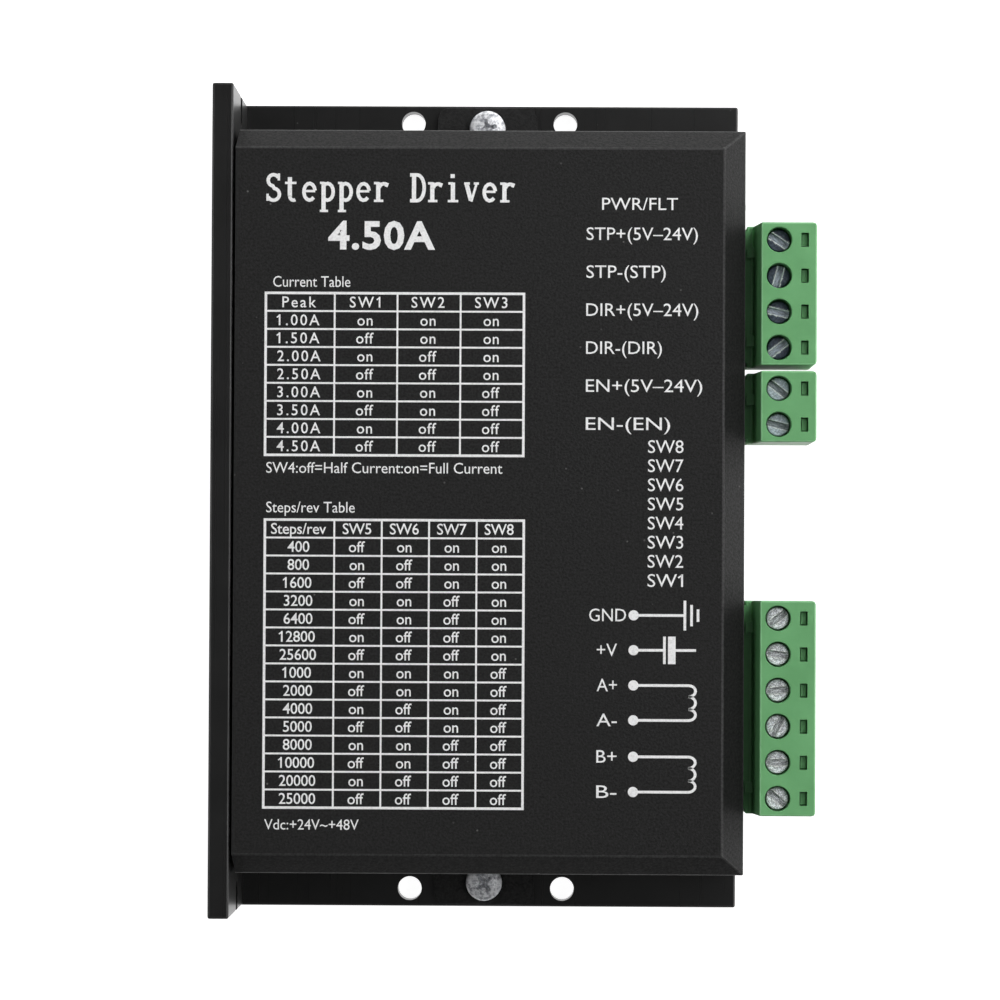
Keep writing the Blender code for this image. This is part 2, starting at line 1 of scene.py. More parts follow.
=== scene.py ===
"""Looks for the stepper driver module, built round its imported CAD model.

The frame is the CAD model's: the origin is the centre of the heatsink's back face, +X points to the
terminals, +Y to the top edge of the printed front, and +Z out of the front. Sizes are in millimetres,
and MM turns them into Blender's metres where a shape is made.
"""

import math

import bmesh
import bpy
from mathutils import Matrix, Vector


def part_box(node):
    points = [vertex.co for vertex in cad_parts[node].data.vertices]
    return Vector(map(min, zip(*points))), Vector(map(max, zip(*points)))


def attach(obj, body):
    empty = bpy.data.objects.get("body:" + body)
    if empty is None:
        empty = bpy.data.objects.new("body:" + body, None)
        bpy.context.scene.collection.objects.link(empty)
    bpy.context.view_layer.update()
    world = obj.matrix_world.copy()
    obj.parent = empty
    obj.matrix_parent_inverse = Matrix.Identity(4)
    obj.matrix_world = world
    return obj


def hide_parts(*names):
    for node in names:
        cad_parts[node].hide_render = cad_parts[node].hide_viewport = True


MM = 0.001

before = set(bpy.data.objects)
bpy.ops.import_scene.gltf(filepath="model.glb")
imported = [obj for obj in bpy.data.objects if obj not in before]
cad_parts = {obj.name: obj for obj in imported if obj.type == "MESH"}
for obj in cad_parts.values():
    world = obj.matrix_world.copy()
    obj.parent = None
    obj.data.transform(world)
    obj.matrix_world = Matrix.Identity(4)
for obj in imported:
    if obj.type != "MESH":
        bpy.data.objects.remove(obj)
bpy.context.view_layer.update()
ROOT = "chassis"


def span(node):
    """Low and high end of a CAD node along X, Y and Z, in millimetres."""
    low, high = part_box(node)
    return [(a / MM, b / MM) for a, b in zip(low, high)]


def middle(node):
    return [(low + high) / 2 for low, high in span(node)]


# Heatsink: a base plate along X and Y, and a side wall on its left edge.
(LEFT, RIGHT), (BOTTOM, TOP), (BACK, HEIGHT) = span("heatsink")
BASE_THICKNESS = 4.0
WALL_THICKNESS = 3.0
WALL_INNER = LEFT + WALL_THICKNESS
SINK_EDGE = 0.3
FIXING_HOLE_RADIUS = 1.75
FIXING_HOLE_X = 1.06
FIXING_HOLE_SPACING = (22.4, 112.8)
NOTCH_DEPTH = 4.5
STANDOFF_RADIUS = 3.0
STANDOFF_TOP = 15.6
TAPPED = 1.5  # radius of a tapped hole
TAPPED_FLOOR = {"clamp_bar": 1.2, "board": 9.5}  # where the blind ones end

# Cover: outer faces of the sheet. The print stands on it, up to the CAD model's front.
PRINT_THICKNESS = 0.03
FRONT = HEIGHT - PRINT_THICKNESS
COVER_LEFT = span("cover")[0][0]
COVER_SKIRT_LEFT = COVER_LEFT + 0.4
COVER_FOOT = span("cover")[2][0]
COVER_HALF_LENGTH = 52.65
SHEET = 1.0
BEVEL_HEIGHT = 3.0
BEVEL_SIDE = 3.1
BEVEL_END = 2.75
FOLD = 0.2
FOOT_CENTRE_X = middle("cover_screw_top")[0]
FOOT_SCREW_Y = middle("cover_screw_top")[1]
FOOT_WIDTH = 14.6
FOOT_REACH = span("cover")[1][1]
FOOT_CORNER = 1.8
RELIEF = (1.0, 2.4)  # width beside the foot tab, height over the cover's foot
WINDOW_Z = (17.5, 26.6)
WINDOW_MARGIN = 0.5

# Pluggable terminals, 5.08 mm pitch. The slot angles are in degrees, from the top edge's screw down.
SLOT_ANGLES = {
    "signal": (-33, 75, -13, 38),
    "enable": (-38, -14),
    "power": (37, -10, 5, 60, 0, -40),
}
PLUG_BACK, PLUG_FACE = span("signal_plug")[0]
PLUG_BOTTOM, PLUG_TOP = span("signal_plug")[2]
PLUG_CORNER, PLUG_EDGE = 0.6, 0.24  # rounding of the outer upright edges, and of the rest
PLUG_SHOULDER = 38.2
PLUG_SLOPE = (39.1, 39.9)
TONGUE = (18.9, 25.2)
SCREW_X = middle("signal_screw_1")[0]
SCREW_BORE_RADIUS = 1.78
SCREW_SHOULDER = 29.2
SCREW_HEAD_RADIUS = 1.57
CLAMP_SHAFT = (19.6, 27.2)
WIRE_ENTRY = (1.6, 20.3, 24.1)  # half width, floor, roof
PROBE_SLOT = (1.0, 45.56, 46.62, 30.6)  # half length, near and far side, floor
PROBE_ISLAND = (0.17, 31.9)  # gap round it, top
PIN_Z = 22.05
CONTACT_Z = (22.75, 23.1)

# DIP switch and status light
DIP_X, DIP_Y, DIP_Z = span("dip_body")
DIP_WAYS = 8
DIP_WINDOW = (9.7, 18.9, 26.1)  # half length, bottom, top
LED_BACK, LED_TIP = 33.6, span("status_led")[0][1]
LED_Y, LED_Z, LED_RADIUS = 42.6, 21.8, 1.5

# Camera, standing over the front and looking down, as the photograph was taken
CAMERA_PLACE = (9.6, -13.7, 676.5)
CAMERA_TURN = (-0.0216, -0.0100, -0.0047)
CAMERA_LENS = 164.2
FLOOR_CARD_Y = -0.135  # in metres: no gloss shows the floor on the near side of this


# Materials


class Surface:
    """A procedural material, built node by node round a Principled shader. Its textures are laid out
    in the piece's own space, in millimetres."""

    def __init__(self, name, metallic=0.0, roughness=0.5, specular=0.5, **sockets):
        self.material = bpy.data.materials.new(name)
        self.material.use_nodes = True
        self.nodes = self.material.node_tree.nodes
        self.shader = self.nodes["Principled BSDF"]
        values = {"Metallic": metallic, "Roughness": roughness, "Specular IOR Level": specular}
        values.update({key.replace("_", " "): value for key, value in sockets.items()})
        for key, value in values.items():
            self.shader.inputs[key].default_value = value
        self.place = self.add("ShaderNodeTexCoord").outputs["Object"]

    def add(self, kind, **settings):
        node = self.nodes.new(kind)
        for key, value in settings.items():
            setattr(node, key, value)
        return node

    def wire(self, source, target):
        self.material.node_tree.links.new(source, target)

    def stretched(self, size, shift=0.0):
        """The place, in units of size along each axis."""
        mapping = self.add("ShaderNodeMapping")
        mapping.inputs["Scale"].default_value = [1 / (length * MM) for length in size]
        mapping.inputs["Location"].default_value = (shift, shift * 0.7, shift * 1.3)
        self.wire(self.place, mapping.inputs["Vector"])
        return mapping.outputs["Vector"]

    def noise(self, size, detail=3.0, rough=0.55, shift=0.0):
        """Noise with features of the given size, which is one length or one for each axis."""
        lengths = size if isinstance(size, tuple) else (size, size, size)
        noise = self.add("ShaderNodeTexNoise")
        noise.inputs["Scale"].default_value = 1.0
        noise.inputs["Detail"].default_value = detail
        noise.inputs["Roughness"].default_value = rough
        self.wire(self.stretched(lengths, shift), noise.inputs["Vector"])
        return noise.outputs["Fac"]

    def specks(self, size, share):
        """Small round spots: one in each cell of the given size, share of the cell across."""
        cells = self.add("ShaderNodeTexVoronoi")
        cells.inputs["Scale"].default_value = 1.0
        self.wire(self.stretched((size, size, size)), cells.inputs["Vector"])
        return self.ramp(cells.outputs["Distance"], (share * 0.6, 1.0), (share, 0.0))

    def ramp(self, factor, *stops):
        """factor turned through a ramp. Each stop is a place with a grey level or a colour."""
        ramp = self.add("ShaderNodeValToRGB")
        elements = ramp.color_ramp.elements
        while len(elements) < len(stops):
            elements.new(0.5)
        for element, (place, colour) in zip(elements, stops):
            rgb = colour if isinstance(colour, tuple) else (colour, colour, colour)
            element.position = place
            element.color = (*rgb, 1.0)
        self.wire(factor, ramp.inputs["Fac"])
        return ramp.outputs["Color"]

    def mix(self, factor, first, second):
        """Two colours mixed. Each one is an output, or a fixed colour."""
        mix = self.add("ShaderNodeMix", data_type="RGBA")
        ends = {"Factor": factor, "A": first, "B": second}
        for key, value in ends.items():
            socket = next(s for s in mix.inputs if s.name == key and s.enabled)
            if isinstance(value, bpy.types.NodeSocket):
                self.wire(value, socket)
            else:
                socket.default_value = value if key == "Factor" else (*value, 1.0)
        return next(s for s in mix.outputs if s.enabled)

    def maths(self, operation, first, second=0.0):
        node = self.add("ShaderNodeMath", operation=operation)
        for socket, value in zip(node.inputs, (first, second)):
            if isinstance(value, bpy.types.NodeSocket):
                self.wire(value, socket)
            else:
                socket.default_value = value
        return node.outputs["Value"]

    def along(self, axis):
        """The place along one axis, in millimetres."""
        split = self.add("ShaderNodeSeparateXYZ")
        self.wire(self.stretched((1, 1, 1)), split.inputs["Vector"])
        return split.outputs[axis]

    def colour(self, output):
        self.wire(output, self.shader.inputs["Base Color"])

    def roughness(self, factor, *stops):
        self.wire(self.ramp(factor, *stops), self.shader.inputs["Roughness"])

    def bump(self, *layers):
        """Each layer is a height output and how many millimetres its full range stands for."""
        normal = None
        for height, depth in layers:
            bump = self.add("ShaderNodeBump")
            bump.inputs["Strength"].default_value = 1.0
            bump.inputs["Distance"].default_value = depth * MM
            self.wire(height, bump.inputs["Height"])
            if normal:
                self.wire(normal, bump.inputs["Normal"])
            normal = bump.outputs["Normal"]
        self.wire(normal, self.shader.inputs["Normal"])


def powder_coat(name, low, high):
    """Black and finely textured, its grain between two grey levels, with a few pale dust specks."""
    coat = Surface(name, specular=0.24)
    grain = coat.noise(0.34, detail=4.0, rough=0.6)
    cloud = coat.noise(30.0, detail=2.0, shift=5.0)
    tone = coat.ramp(grain, (0.34, low), (0.68, high))
    tone = coat.mix(coat.ramp(cloud, (0.3, 0.0), (0.7, 0.3)), tone, (0.006, 0.006, 0.006))
    patches = coat.ramp(coat.noise(7.0, shift=2.0), (0.5, 0.0), (0.62, 0.8))
    dust = coat.maths("MULTIPLY", coat.specks(3.1, 0.055), patches)
    coat.colour(coat.mix(dust, tone, (0.13, 0.13, 0.125)))
    coat.roughness(grain, (0.3, 0.62), (0.75, 0.46))
    coat.bump((cloud, 0.02), (grain, 0.055))
    return coat.material


def anodised(name, low, high):
    """Black anodised aluminium between two grey levels, with fine extrusion lines along Y."""
    skin = Surface(name, metallic=0.2, specular=0.42)
    lines = skin.noise((0.22, 55.0, 0.22), detail=2.0)
    cloud = skin.noise(12.0, detail=4.0, shift=3.0)
    tone = skin.ramp(cloud, (0.3, low), (0.72, high))
    patches = skin.ramp(skin.noise(5.0), (0.5, 0.0), (0.66, 0.7))
    dust = skin.maths("MULTIPLY", skin.specks(2.4, 0.06), patches)
    skin.colour(skin.mix(dust, tone, (0.11, 0.11, 0.11)))
    skin.roughness(lines, (0.3, 0.31), (0.7, 0.27))
    skin.bump((lines, 0.0012), (skin.noise(0.18), 0.003))
    return skin.material


def plated(name, dark, bright, metallic=0.7, roughness=(0.3, 0.45), scratch=(0.08, 1.6, 0.08)):
    """A plated metal: cloudy between two tones, with fine scratches along its own Y."""
    metal = Surface(name, metallic=metallic)
    cloud = metal.noise(0.55, detail=5.0, rough=0.65)
    scratches = metal.noise(scratch, detail=2.0, shift=4.0)
    metal.colour(metal.ramp(cloud, (0.38, dark), (0.58, bright)))
    metal.roughness(scratches, (0.35, roughness[0]), (0.7, roughness[1]))
    metal.bump((cloud, 0.008), (scratches, 0.006))
    return metal.material


def worn_slot(name, height, head, blotch, burr, floor, cracks):
    """A slotted screw's head, its face at height. A driver has left bright burrs beside the slot, which
    runs along X, and scratches along its floor. cracks is how dark the nicks in the plating are."""
    metal = Surface(name, metallic=0.12)
    off_slot = metal.maths("ABSOLUTE", metal.along("Y"))
    blotches = metal.noise(0.34, detail=5.0, rough=0.72, shift=6.0)
    scuffs = metal.noise((0.8, 0.1, 0.3), detail=4.0, rough=0.7)
    wobble = metal.maths("MULTIPLY", metal.maths("SUBTRACT", blotches, 0.5), 0.7)
    edge = metal.maths("ADD", off_slot, wobble)
    ridge = metal.ramp(edge, (0.3, 0.0), (0.4, 1.0), (0.52, 1.0), (0.64, 0.0))
    ridge = metal.maths("MULTIPLY", ridge, metal.ramp(scuffs, (0.32, 0.55), (0.48, 1.0)))
    sunk = metal.ramp(metal.maths("SUBTRACT", height, metal.along("Z")), (0.2, 0.0), (0.5, 1.0))
    body = metal.mix(metal.ramp(blotches, (0.38, 0.0), (0.62, 1.0)), head, blotch)
    trench = metal.ramp(scuffs, (0.38, tuple(value * 0.3 for value in floor)), (0.58, floor))
    whole = metal.mix(sunk, metal.mix(ridge, body, burr), trench)
    nicks = metal.noise((0.55, 0.3, 0.4), detail=3.0, rough=0.6, shift=11.0)
    lines = metal.ramp(nicks, (0.44, 0.0), (0.49, cracks), (0.51, cracks), (0.56, 0.0))
    metal.colour(metal.mix(lines, whole, tuple(value * 0.12 for value in head)))
    metal.roughness(blotches, (0.3, 0.3), (0.7, 0.5))
    metal.bump((blotches, 0.04), (scuffs, 0.03))
    return metal.material


def moulded(name, dark, light, grain=0.16, roughness=(0.36, 0.5), depth=0.006, **sockets):
    """Moulded plastic: slightly clouded, with a fine spark-eroded texture."""
    plastic = Surface(name, **sockets)
    cloud = plastic.noise(4.5, detail=4.0, rough=0.6)
    texture = plastic.noise(grain, detail=3.0, shift=7.0)
    plastic.colour(plastic.ramp(cloud, (0.3, dark), (0.7, light)))
    plastic.roughness(texture, (0.3, roughness[0]), (0.7, roughness[1]))
    plastic.bump((texture, depth))
    return plastic.material


def ink():
    """Pale screen print, thin in places."""
    paint = Surface("print_ink", specular=0.3)
    thin = paint.noise(0.28, detail=4.0, rough=0.7)
    paint.colour(paint.ramp(thin, (0.3, 0.66), (0.5, 0.84), (0.72, 0.92)))
    paint.roughness(thin, (0.3, 0.65), (0.7, 0.5))
    paint.bump((thin, 0.006))
    return paint.material


def board_material():
    """Green solder mask over tracks that run along X and Y."""
    board = Surface("board", specular=0.5, Coat_Weight=0.3, Coat_Roughness=0.15)
    tracks = board.add("ShaderNodeTexBrick", offset=0.37, squash=1.4)
    board.wire(board.stretched((2.2, 2.2, 2.2)), tracks.inputs["Vector"])
    tracks.inputs["Scale"].default_value = 1.0
    tracks.inputs["Mortar Size"].default_value = 0.12
    tracks.inputs["Color1"].default_value = (0.012, 0.11, 0.045, 1.0)
    tracks.inputs["Color2"].default_value = (0.014, 0.13, 0.055, 1.0)
    tracks.inputs["Mortar"].default_value = (0.03, 0.22, 0.09, 1.0)
    cloud = board.noise(3.0, detail=3.0)
    shade = board.ramp(cloud, (0.3, 0.0), (0.8, 0.3))
    board.colour(board.mix(shade, tracks.outputs["Color"], (0.01, 0.08, 0.03)))
    board.roughness(cloud, (0.3, 0.3), (0.7, 0.42))
    board.bump((tracks.outputs["Fac"], 0.03), (cloud, 0.01))
    return board.material


def lens():
    """Clear green epoxy, a little hazy."""
    epoxy = Surface("clear_lens", Transmission_Weight=0.85, IOR=1.5)
    haze = epoxy.noise(0.8, detail=2.0)
    epoxy.colour(epoxy.ramp(haze, (0.3, (0.62, 0.92, 0.64)), (0.7, (0.75, 0.96, 0.76))))
    epoxy.roughness(haze, (0.3, 0.06), (0.7, 0.14))
    return epoxy.material


def sleeve():
    """Dark blue shrink sleeve with a pale stripe down one side."""
    film = Surface("capacitor_sleeve")
    ripple = film.noise((3.0, 3.0, 0.5), detail=3.0)
    stripe = film.noise((9.0, 40.0, 400.0), detail=0.0, shift=1.0)
    pale = film.ramp(stripe, (0.6, 0.0), (0.62, 1.0))
    film.colour(film.mix(pale, (0.012, 0.018, 0.06), (0.3, 0.33, 0.36)))
    film.roughness(ripple, (0.3, 0.25), (0.7, 0.4))
    film.bump((ripple, 0.05))
    return film.material


COAT = powder_coat("powder_coat", 0.001, 0.013)
# A lighter copy of the coat: a painted highlight for the cover's rounded folds and the cut edges of its
# tabs.
FOLD_HIGHLIGHT_COAT = powder_coat("powder_coat_painted_fold_highlight", 0.022, 0.05)
ANODISED = anodised("anodised", 0.0055, 0.0115)
# A lighter copy of the anodising: a painted highlight for the heatsink's rounded edges.
EDGE_HIGHLIGHT_ANODISED = anodised("anodised_painted_edge_highlight", 0.02, 0.045)
INK = ink()
ZINC = plated("zinc", (0.3, 0.31, 0.34), (0.92, 0.93, 0.95), metallic=0.2, roughness=(0.38, 0.52))
NICKEL = plated("nickel", (0.5, 0.46, 0.38), (0.74, 0.7, 0.6))
STEEL_STRIP = plated("rolled_strip", (0.4, 0.4, 0.42), (0.6, 0.6, 0.62), scratch=(0.1, 30.0, 0.1))
GREEN = moulded("terminal_green", (0.112, 0.33, 0.126), (0.138, 0.385, 0.155), specular=0.4)
# A paler copy of the green: a painted highlight for the plugs' rounded edges.
EDGE_HIGHLIGHT_GREEN = moulded("terminal_green_painted_edge_highlight", (0.2, 0.47, 0.22), (0.25, 0.54, 0.27), specular=0.4)
DIP_RED = moulded("dip_red", (0.42, 0.02, 0.015), (0.5, 0.03, 0.02))
DIP_WHITE = moulded("dip_white", (0.72, 0.72, 0.69), (0.8, 0.8, 0.77), roughness=(0.28, 0.4))
EPOXY = moulded(
    "black_epoxy", (0.012, 0.012, 0.013), (0.022, 0.022, 0.023),
    grain=0.3, roughness=(0.45, 0.65), depth=0.015,
)
SILICONE = moulded(
    "thermal_pad", (0.36, 0.38, 0.42), (0.44, 0.46, 0.5),
    grain=0.5, roughness=(0.7, 0.85), depth=0.03,
)
BOARD = board_material()
LENS = lens()
SLEEVE = sleeve()
SCREW_LOOKS = {
    # The signal screws' near-black blue head is partly a blue finish and partly painted shade for their
    # deep seat in the bore.
    "signal": worn_slot(
        "dark_screw", 1.4, head=(0.014, 0.022, 0.046), blotch=(0.06, 0.08, 0.13),
        burr=(0.95, 0.97, 1.0), floor=(0.62, 0.68, 0.8), cracks=0.3,
    ),
    "enable": worn_slot(
        "grey_screw", 1.4, head=(0.4, 0.45, 0.56), blotch=(0.72, 0.78, 0.88),
        burr=(0.95, 0.97, 1.0), floor=(0.44, 0.5, 0.54), cracks=0.5,
    ),
    "power": worn_slot(
        "bright_screw", 2.3, head=(0.62, 0.65, 0.71), blotch=(0.93, 0.94, 0.97),
        burr=(0.97, 0.97, 0.97), floor=(0.88, 0.9, 0.94), cracks=0.85,
    ),
}


# Shapes. Each one goes into a bmesh, in millimetres of the object's own frame.


def add_box(bm, x, y, z):
    """A box given by its low and high end along each axis."""
    spans = (x, y, z)
    centre = Vector([(low + high) / 2 for low, high in spans]) * MM
    size = [(high - low) * MM for low, high in spans]
    bmesh.ops.create_cube(bm, size=1.0, matrix=Matrix.Translation(centre) @ Matrix.Diagonal((*size, 1.0)))


def add_prism(bm, outline, ends, axis):
    """A flat outline drawn out along axis. Its points hold the other two coordinates, in order."""
    index = "XYZ".index(axis)

    def place(point, along):
        coordinates = list(point)
        coordinates.insert(index, along)
        return Vector(coordinates) * MM

    near, far = [[bm.verts.new(place(point, end)) for point in outline] for end in ends]
    bm.faces.new(near)
    bm.faces.new(far[::-1])
    for i, vertex in enumerate(near):
        bm.faces.new((vertex, far[i], far[i - 1], near[i - 1]))


def add_turned(bm, profile, segments=40, turn=Matrix.Identity(4)):
    """A profile of (radius, height) points, from the axis at its top to the axis below, turned about Z."""
    rings = []
    for radius, height in profile:
        angles = [2 * math.pi * i / segments for i in range(segments if radius else 1)]
        points = [Vector((radius * math.cos(a), radius * math.sin(a), height)) for a in angles]
        ring = [bm.verts.new(turn @ (point * MM)) for point in points]
        rings.append(ring if radius else ring * segments)
    for upper, lower in zip(rings, rings[1:]):
        for i in range(segments):
            corners = (upper[i - 1], upper[i], lower[i], lower[i - 1])
            bm.faces.new(list(dict.fromkeys(corners)))


def bore_profile(radius, low, high, flare=0.15):
    """A cylinder's profile for cutting a bore whose mouth, at high, is chamfered by flare."""
    rim = radius + flare
    mouth = [(0.0, high + 1), (rim + 1, high + 1), (rim, high)]
    return mouth + [(radius, high - flare), (radius, low), (0.0, low)]


def at(x, y, z=0.0):
    return Matrix.Translation(Vector((x, y, z)) * MM)


def add_taper(bm, outline, low, high, scale):
    """An outline in X and Y that narrows to scale of its size from the height high down to low."""
    rows = [
        [bm.verts.new(Vector((x * size, y * size, z)) * MM) for x, y in outline]
        for size, z in ((1.0, high), (scale, low))
    ]
    bm.faces.new(rows[0])
    bm.faces.new(rows[1][::-1])
    for i in range(len(outline)):
        bm.faces.new((rows[0][i], rows[1][i], rows[1][i - 1], rows[0][i - 1]))


def rounded(corners, radii, steps=5):
    """The outline with its corners rounded. radii is one radius for all, or a list of one for each."""
    points = []
    for i, corner in enumerate(corners):
        radius = radii[i] if isinstance(radii, (list, tuple)) else radii
        here = Vector(corner)
        onto = (here - Vector(corners[i - 1])).normalized()
        away = (Vector(corners[(i + 1) % len(corners)]) - here).normalized()
        turn = math.atan2(onto.x * away.y - onto.y * away.x, onto.dot(away))
        side = Vector((-onto.y, onto.x)) * math.copysign(radius, turn)
        centre = here - onto * radius * math.tan(abs(turn) / 2) + side
        for step in range(steps + 1 if radius else 1):
            points.append(tuple(centre + Matrix.Rotation(turn * step / steps, 2) @ -side))
    return points


def arc(centre, radii, start, end, steps=12):
    """Points of an ellipse's arc, from one angle to another in degrees."""
    angles = [math.radians(start + (end - start) * step / steps) for step in range(steps + 1)]
    return [(centre[0] + radii[0] * math.cos(a), centre[1] + radii[1] * math.sin(a)) for a in angles]


def circle(centre, radius, sides):
    return arc(centre, (radius, radius), 0, 360 * (sides - 1) / sides, steps=sides - 1)


def rectangle(x, y):
    return [(x[0], y[0]), (x[1], y[0]), (x[1], y[1]), (x[0], y[1])]


def add_bevelled_box(bm, left, right, half_length, foot, brow, front, side, end):
    """A box up to the height brow, drawn in by side and end on three edges at the front."""
    add_box(bm, (left, right), (-half_length, half_length), (foot, brow))
    lid = max(bm.faces, key=lambda face: face.calc_center_median().z)
    grown = bmesh.ops.extrude_face_region(bm, geom=[lid])["geom"]
    bmesh.ops.delete(bm, geom=[lid], context="FACES_ONLY")
    for vertex in (part for part in grown if isinstance(part, bmesh.types.BMVert)):
        vertex.co.x = (right - side if vertex.co.x > 0 else left) * MM
        vertex.co.y = math.copysign(half_length - end, vertex.co.y) * MM
        vertex.co.z = front * MM


# Objects


def new_object(name, data):
    obj = bpy.data.objects.new(name, data)
    bpy.context.scene.collection.objects.link(obj)
    return obj


def object_of(bm, name):
    """A new object that takes over the bmesh's shape."""
    mesh = bpy.data.meshes.new(name)
    bm.to_mesh(mesh)
    bm.free()
    return new_object(name, mesh)


def build_mesh(name, draw):
    bm = bmesh.new()
    draw(bm)
    bmesh.ops.recalc_face_normals(bm, faces=bm.faces)
    return object_of(bm, name)


def settle(obj):
    """Turns the object's modifiers into its mesh."""
    graph = bpy.context.evaluated_depsgraph_get()
    mesh = bpy.data.meshes.new_from_object(obj.evaluated_get(graph))
    obj.modifiers.clear()
    obj.data = mesh


def round_edges(obj, width, segments=2, angle=35, slot=-1):
    """Rounds the edges. slot is the material slot of the rounded faces, or -1 for their neighbours'."""
    bevel = obj.modifiers.new("round", "BEVEL")
    bevel.material = slot
    bevel.width = width * MM
    bevel.segments = segments
    bevel.limit_method = "ANGLE"
    bevel.angle_limit = math.radians(angle)
    bevel.harden_normals = False
    return bevel


def weigh_edges(obj, weight):
    """Bevels each edge by its own weight, which weight works out from its two ends in millimetres."""
    weights = obj.data.attributes.new("bevel_weight_edge", "FLOAT", "EDGE")
    for edge in obj.data.edges:
        first, second = (obj.data.vertices[end].co / MM for end in edge.vertices)
        weights.data[edge.index].value = weight(first, second)
    obj.modifiers["round"].limit_method = "WEIGHT"


def use_tool(obj, operation, tool):
    """Joins the tool to the object, cuts it out or keeps only what lies in it. The tool is used up."""
    modifier = obj.modifiers.new("combine", "BOOLEAN")
    modifier.operation = operation
    modifier.solver = "EXACT"
    modifier.object = tool
    settle(obj)
    bpy.data.objects.remove(tool, do_unlink=True)


def combine(obj, operation, *draws):
    """Uses what each function draws as a tool on the object, one after the other."""
    for draw in draws:
        use_tool(obj, operation, build_mesh("tool", draw))


def wear(obj, *materials):
    """Gives the object its materials early, so that its rounded edges can take the second one: a lighter
    copy of the first, which paints a highlight along them.
    """
    for material in materials:
        obj.data.materials.append(material)


def finish(obj, material, body=ROOT, nodes=(), smooth=38):
    """Shades a piece, hands it its material, and puts it on its CAD body in place of its nodes."""
    mesh = obj.data
    if not mesh.materials:
        mesh.materials.append(material)
    mesh.polygons.foreach_set("use_smooth", [True] * len(mesh.polygons))
    mesh.set_sharp_from_angle(angle=math.radians(smooth))
    weighted = obj.modifiers.new("weighted", "WEIGHTED_NORMAL")
    weighted.keep_sharp = True
    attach(obj, body)
    if nodes:
        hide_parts(*nodes)
    return obj


# Heatsink and cover


def heatsink():
    def profile(bm):
        corners = [
            (LEFT, BACK), (RIGHT, BACK), (RIGHT, BASE_THICKNESS),
            (WALL_INNER, BASE_THICKNESS), (WALL_INNER, HEIGHT), (LEFT, HEIGHT),
        ]
        add_prism(bm, corners, (BOTTOM, TOP), "Y")

    def standoffs(bm):
        top, root, radius, edge = STANDOFF_TOP, BASE_THICKNESS - 1, STANDOFF_RADIUS, 0.2
        stack = [(0.0, top), (radius - edge, top), (radius, top - edge), (radius, root), (0.0, root)]
        for number in range(1, 5):
            x, y, _ = middle(f"board_screw_{number}")
            add_turned(bm, stack, turn=at(x, y))

    def holes(bm):
        for side in (-1, 1):
            for end in (-1, 1):
                x = FIXING_HOLE_X + side * FIXING_HOLE_SPACING[0] / 2
                y = end * FIXING_HOLE_SPACING[1] / 2
                add_through_hole(bm, x, y, FIXING_HOLE_RADIUS)
        for end in (-1, 1):
            add_through_hole(bm, FOOT_CENTRE_X, end * FOOT_SCREW_Y, TAPPED)
        for held, count, top in (("clamp_bar", 2, BASE_THICKNESS), ("board", 4, STANDOFF_TOP)):
            for number in range(1, count + 1):
                x, y, _ = middle(f"{held}_screw_{number}")
                add_turned(bm, bore_profile(TAPPED, TAPPED_FLOOR[held], top), turn=at(x, y))

    def notches(bm):
        """A slot open at each end of the wall, round at its inner end."""
        radius = FIXING_HOLE_RADIUS
        centre_z = (BACK + HEIGHT) / 2
        for end in (-1, 1):
            inner, mouth = end * (TOP - NOTCH_DEPTH + radius), end * (TOP + 1)
            curve = arc((inner, centre_z), (-end * radius, radius), 90, -90)
            outline = curve + [(mouth, centre_z - radius), (mouth, centre_z + radius)]
            add_prism(bm, outline, (LEFT - 1, WALL_INNER + 1), "X")

    def in_corner(place):
        """Whether place is on the line where wall and base meet, which stays sharp."""
        return math.hypot(place.x - WALL_INNER, place.z - BASE_THICKNESS) < 0.01

    sink = build_mesh("heatsink_body", profile)
    wear(sink, ANODISED, EDGE_HIGHLIGHT_ANODISED)
    # The rounded edges take the lighter copy in slot 1, a painted highlight.
    round_edges(sink, SINK_EDGE, segments=3, slot=1)
    weigh_edges(sink, lambda *ends: 0.0 if all(in_corner(end) for end in ends) else 1.0)
    settle(sink)
    combine(sink, "UNION", standoffs)
    combine(sink, "DIFFERENCE", holes, notches)
    finish(sink, ANODISED, nodes=["heatsink"])


def add_through_hole(bm, x, y, radius):
    """A hole through the heatsink's base with a small chamfer at both faces."""
    flare = 0.07
    rim = radius + flare
    profile = [
        (0.0, BASE_THICKNESS + 1), (rim + 1, BASE_THICKNESS + 1), (rim, BASE_THICKNESS),
        (radius, BASE_THICKNESS - flare), (radius, BACK + flare),
        (rim, BACK), (rim + 1, BACK - 1), (0.0, BACK - 1),
    ]
    add_turned(bm, profile, segments=48, turn=at(x, y))


def window_span(label):
    """Low and high end along Y of a header's window."""
    low, high = span(f"{label}_plug")[1]
    return low - WINDOW_MARGIN, high + WINDOW_MARGIN


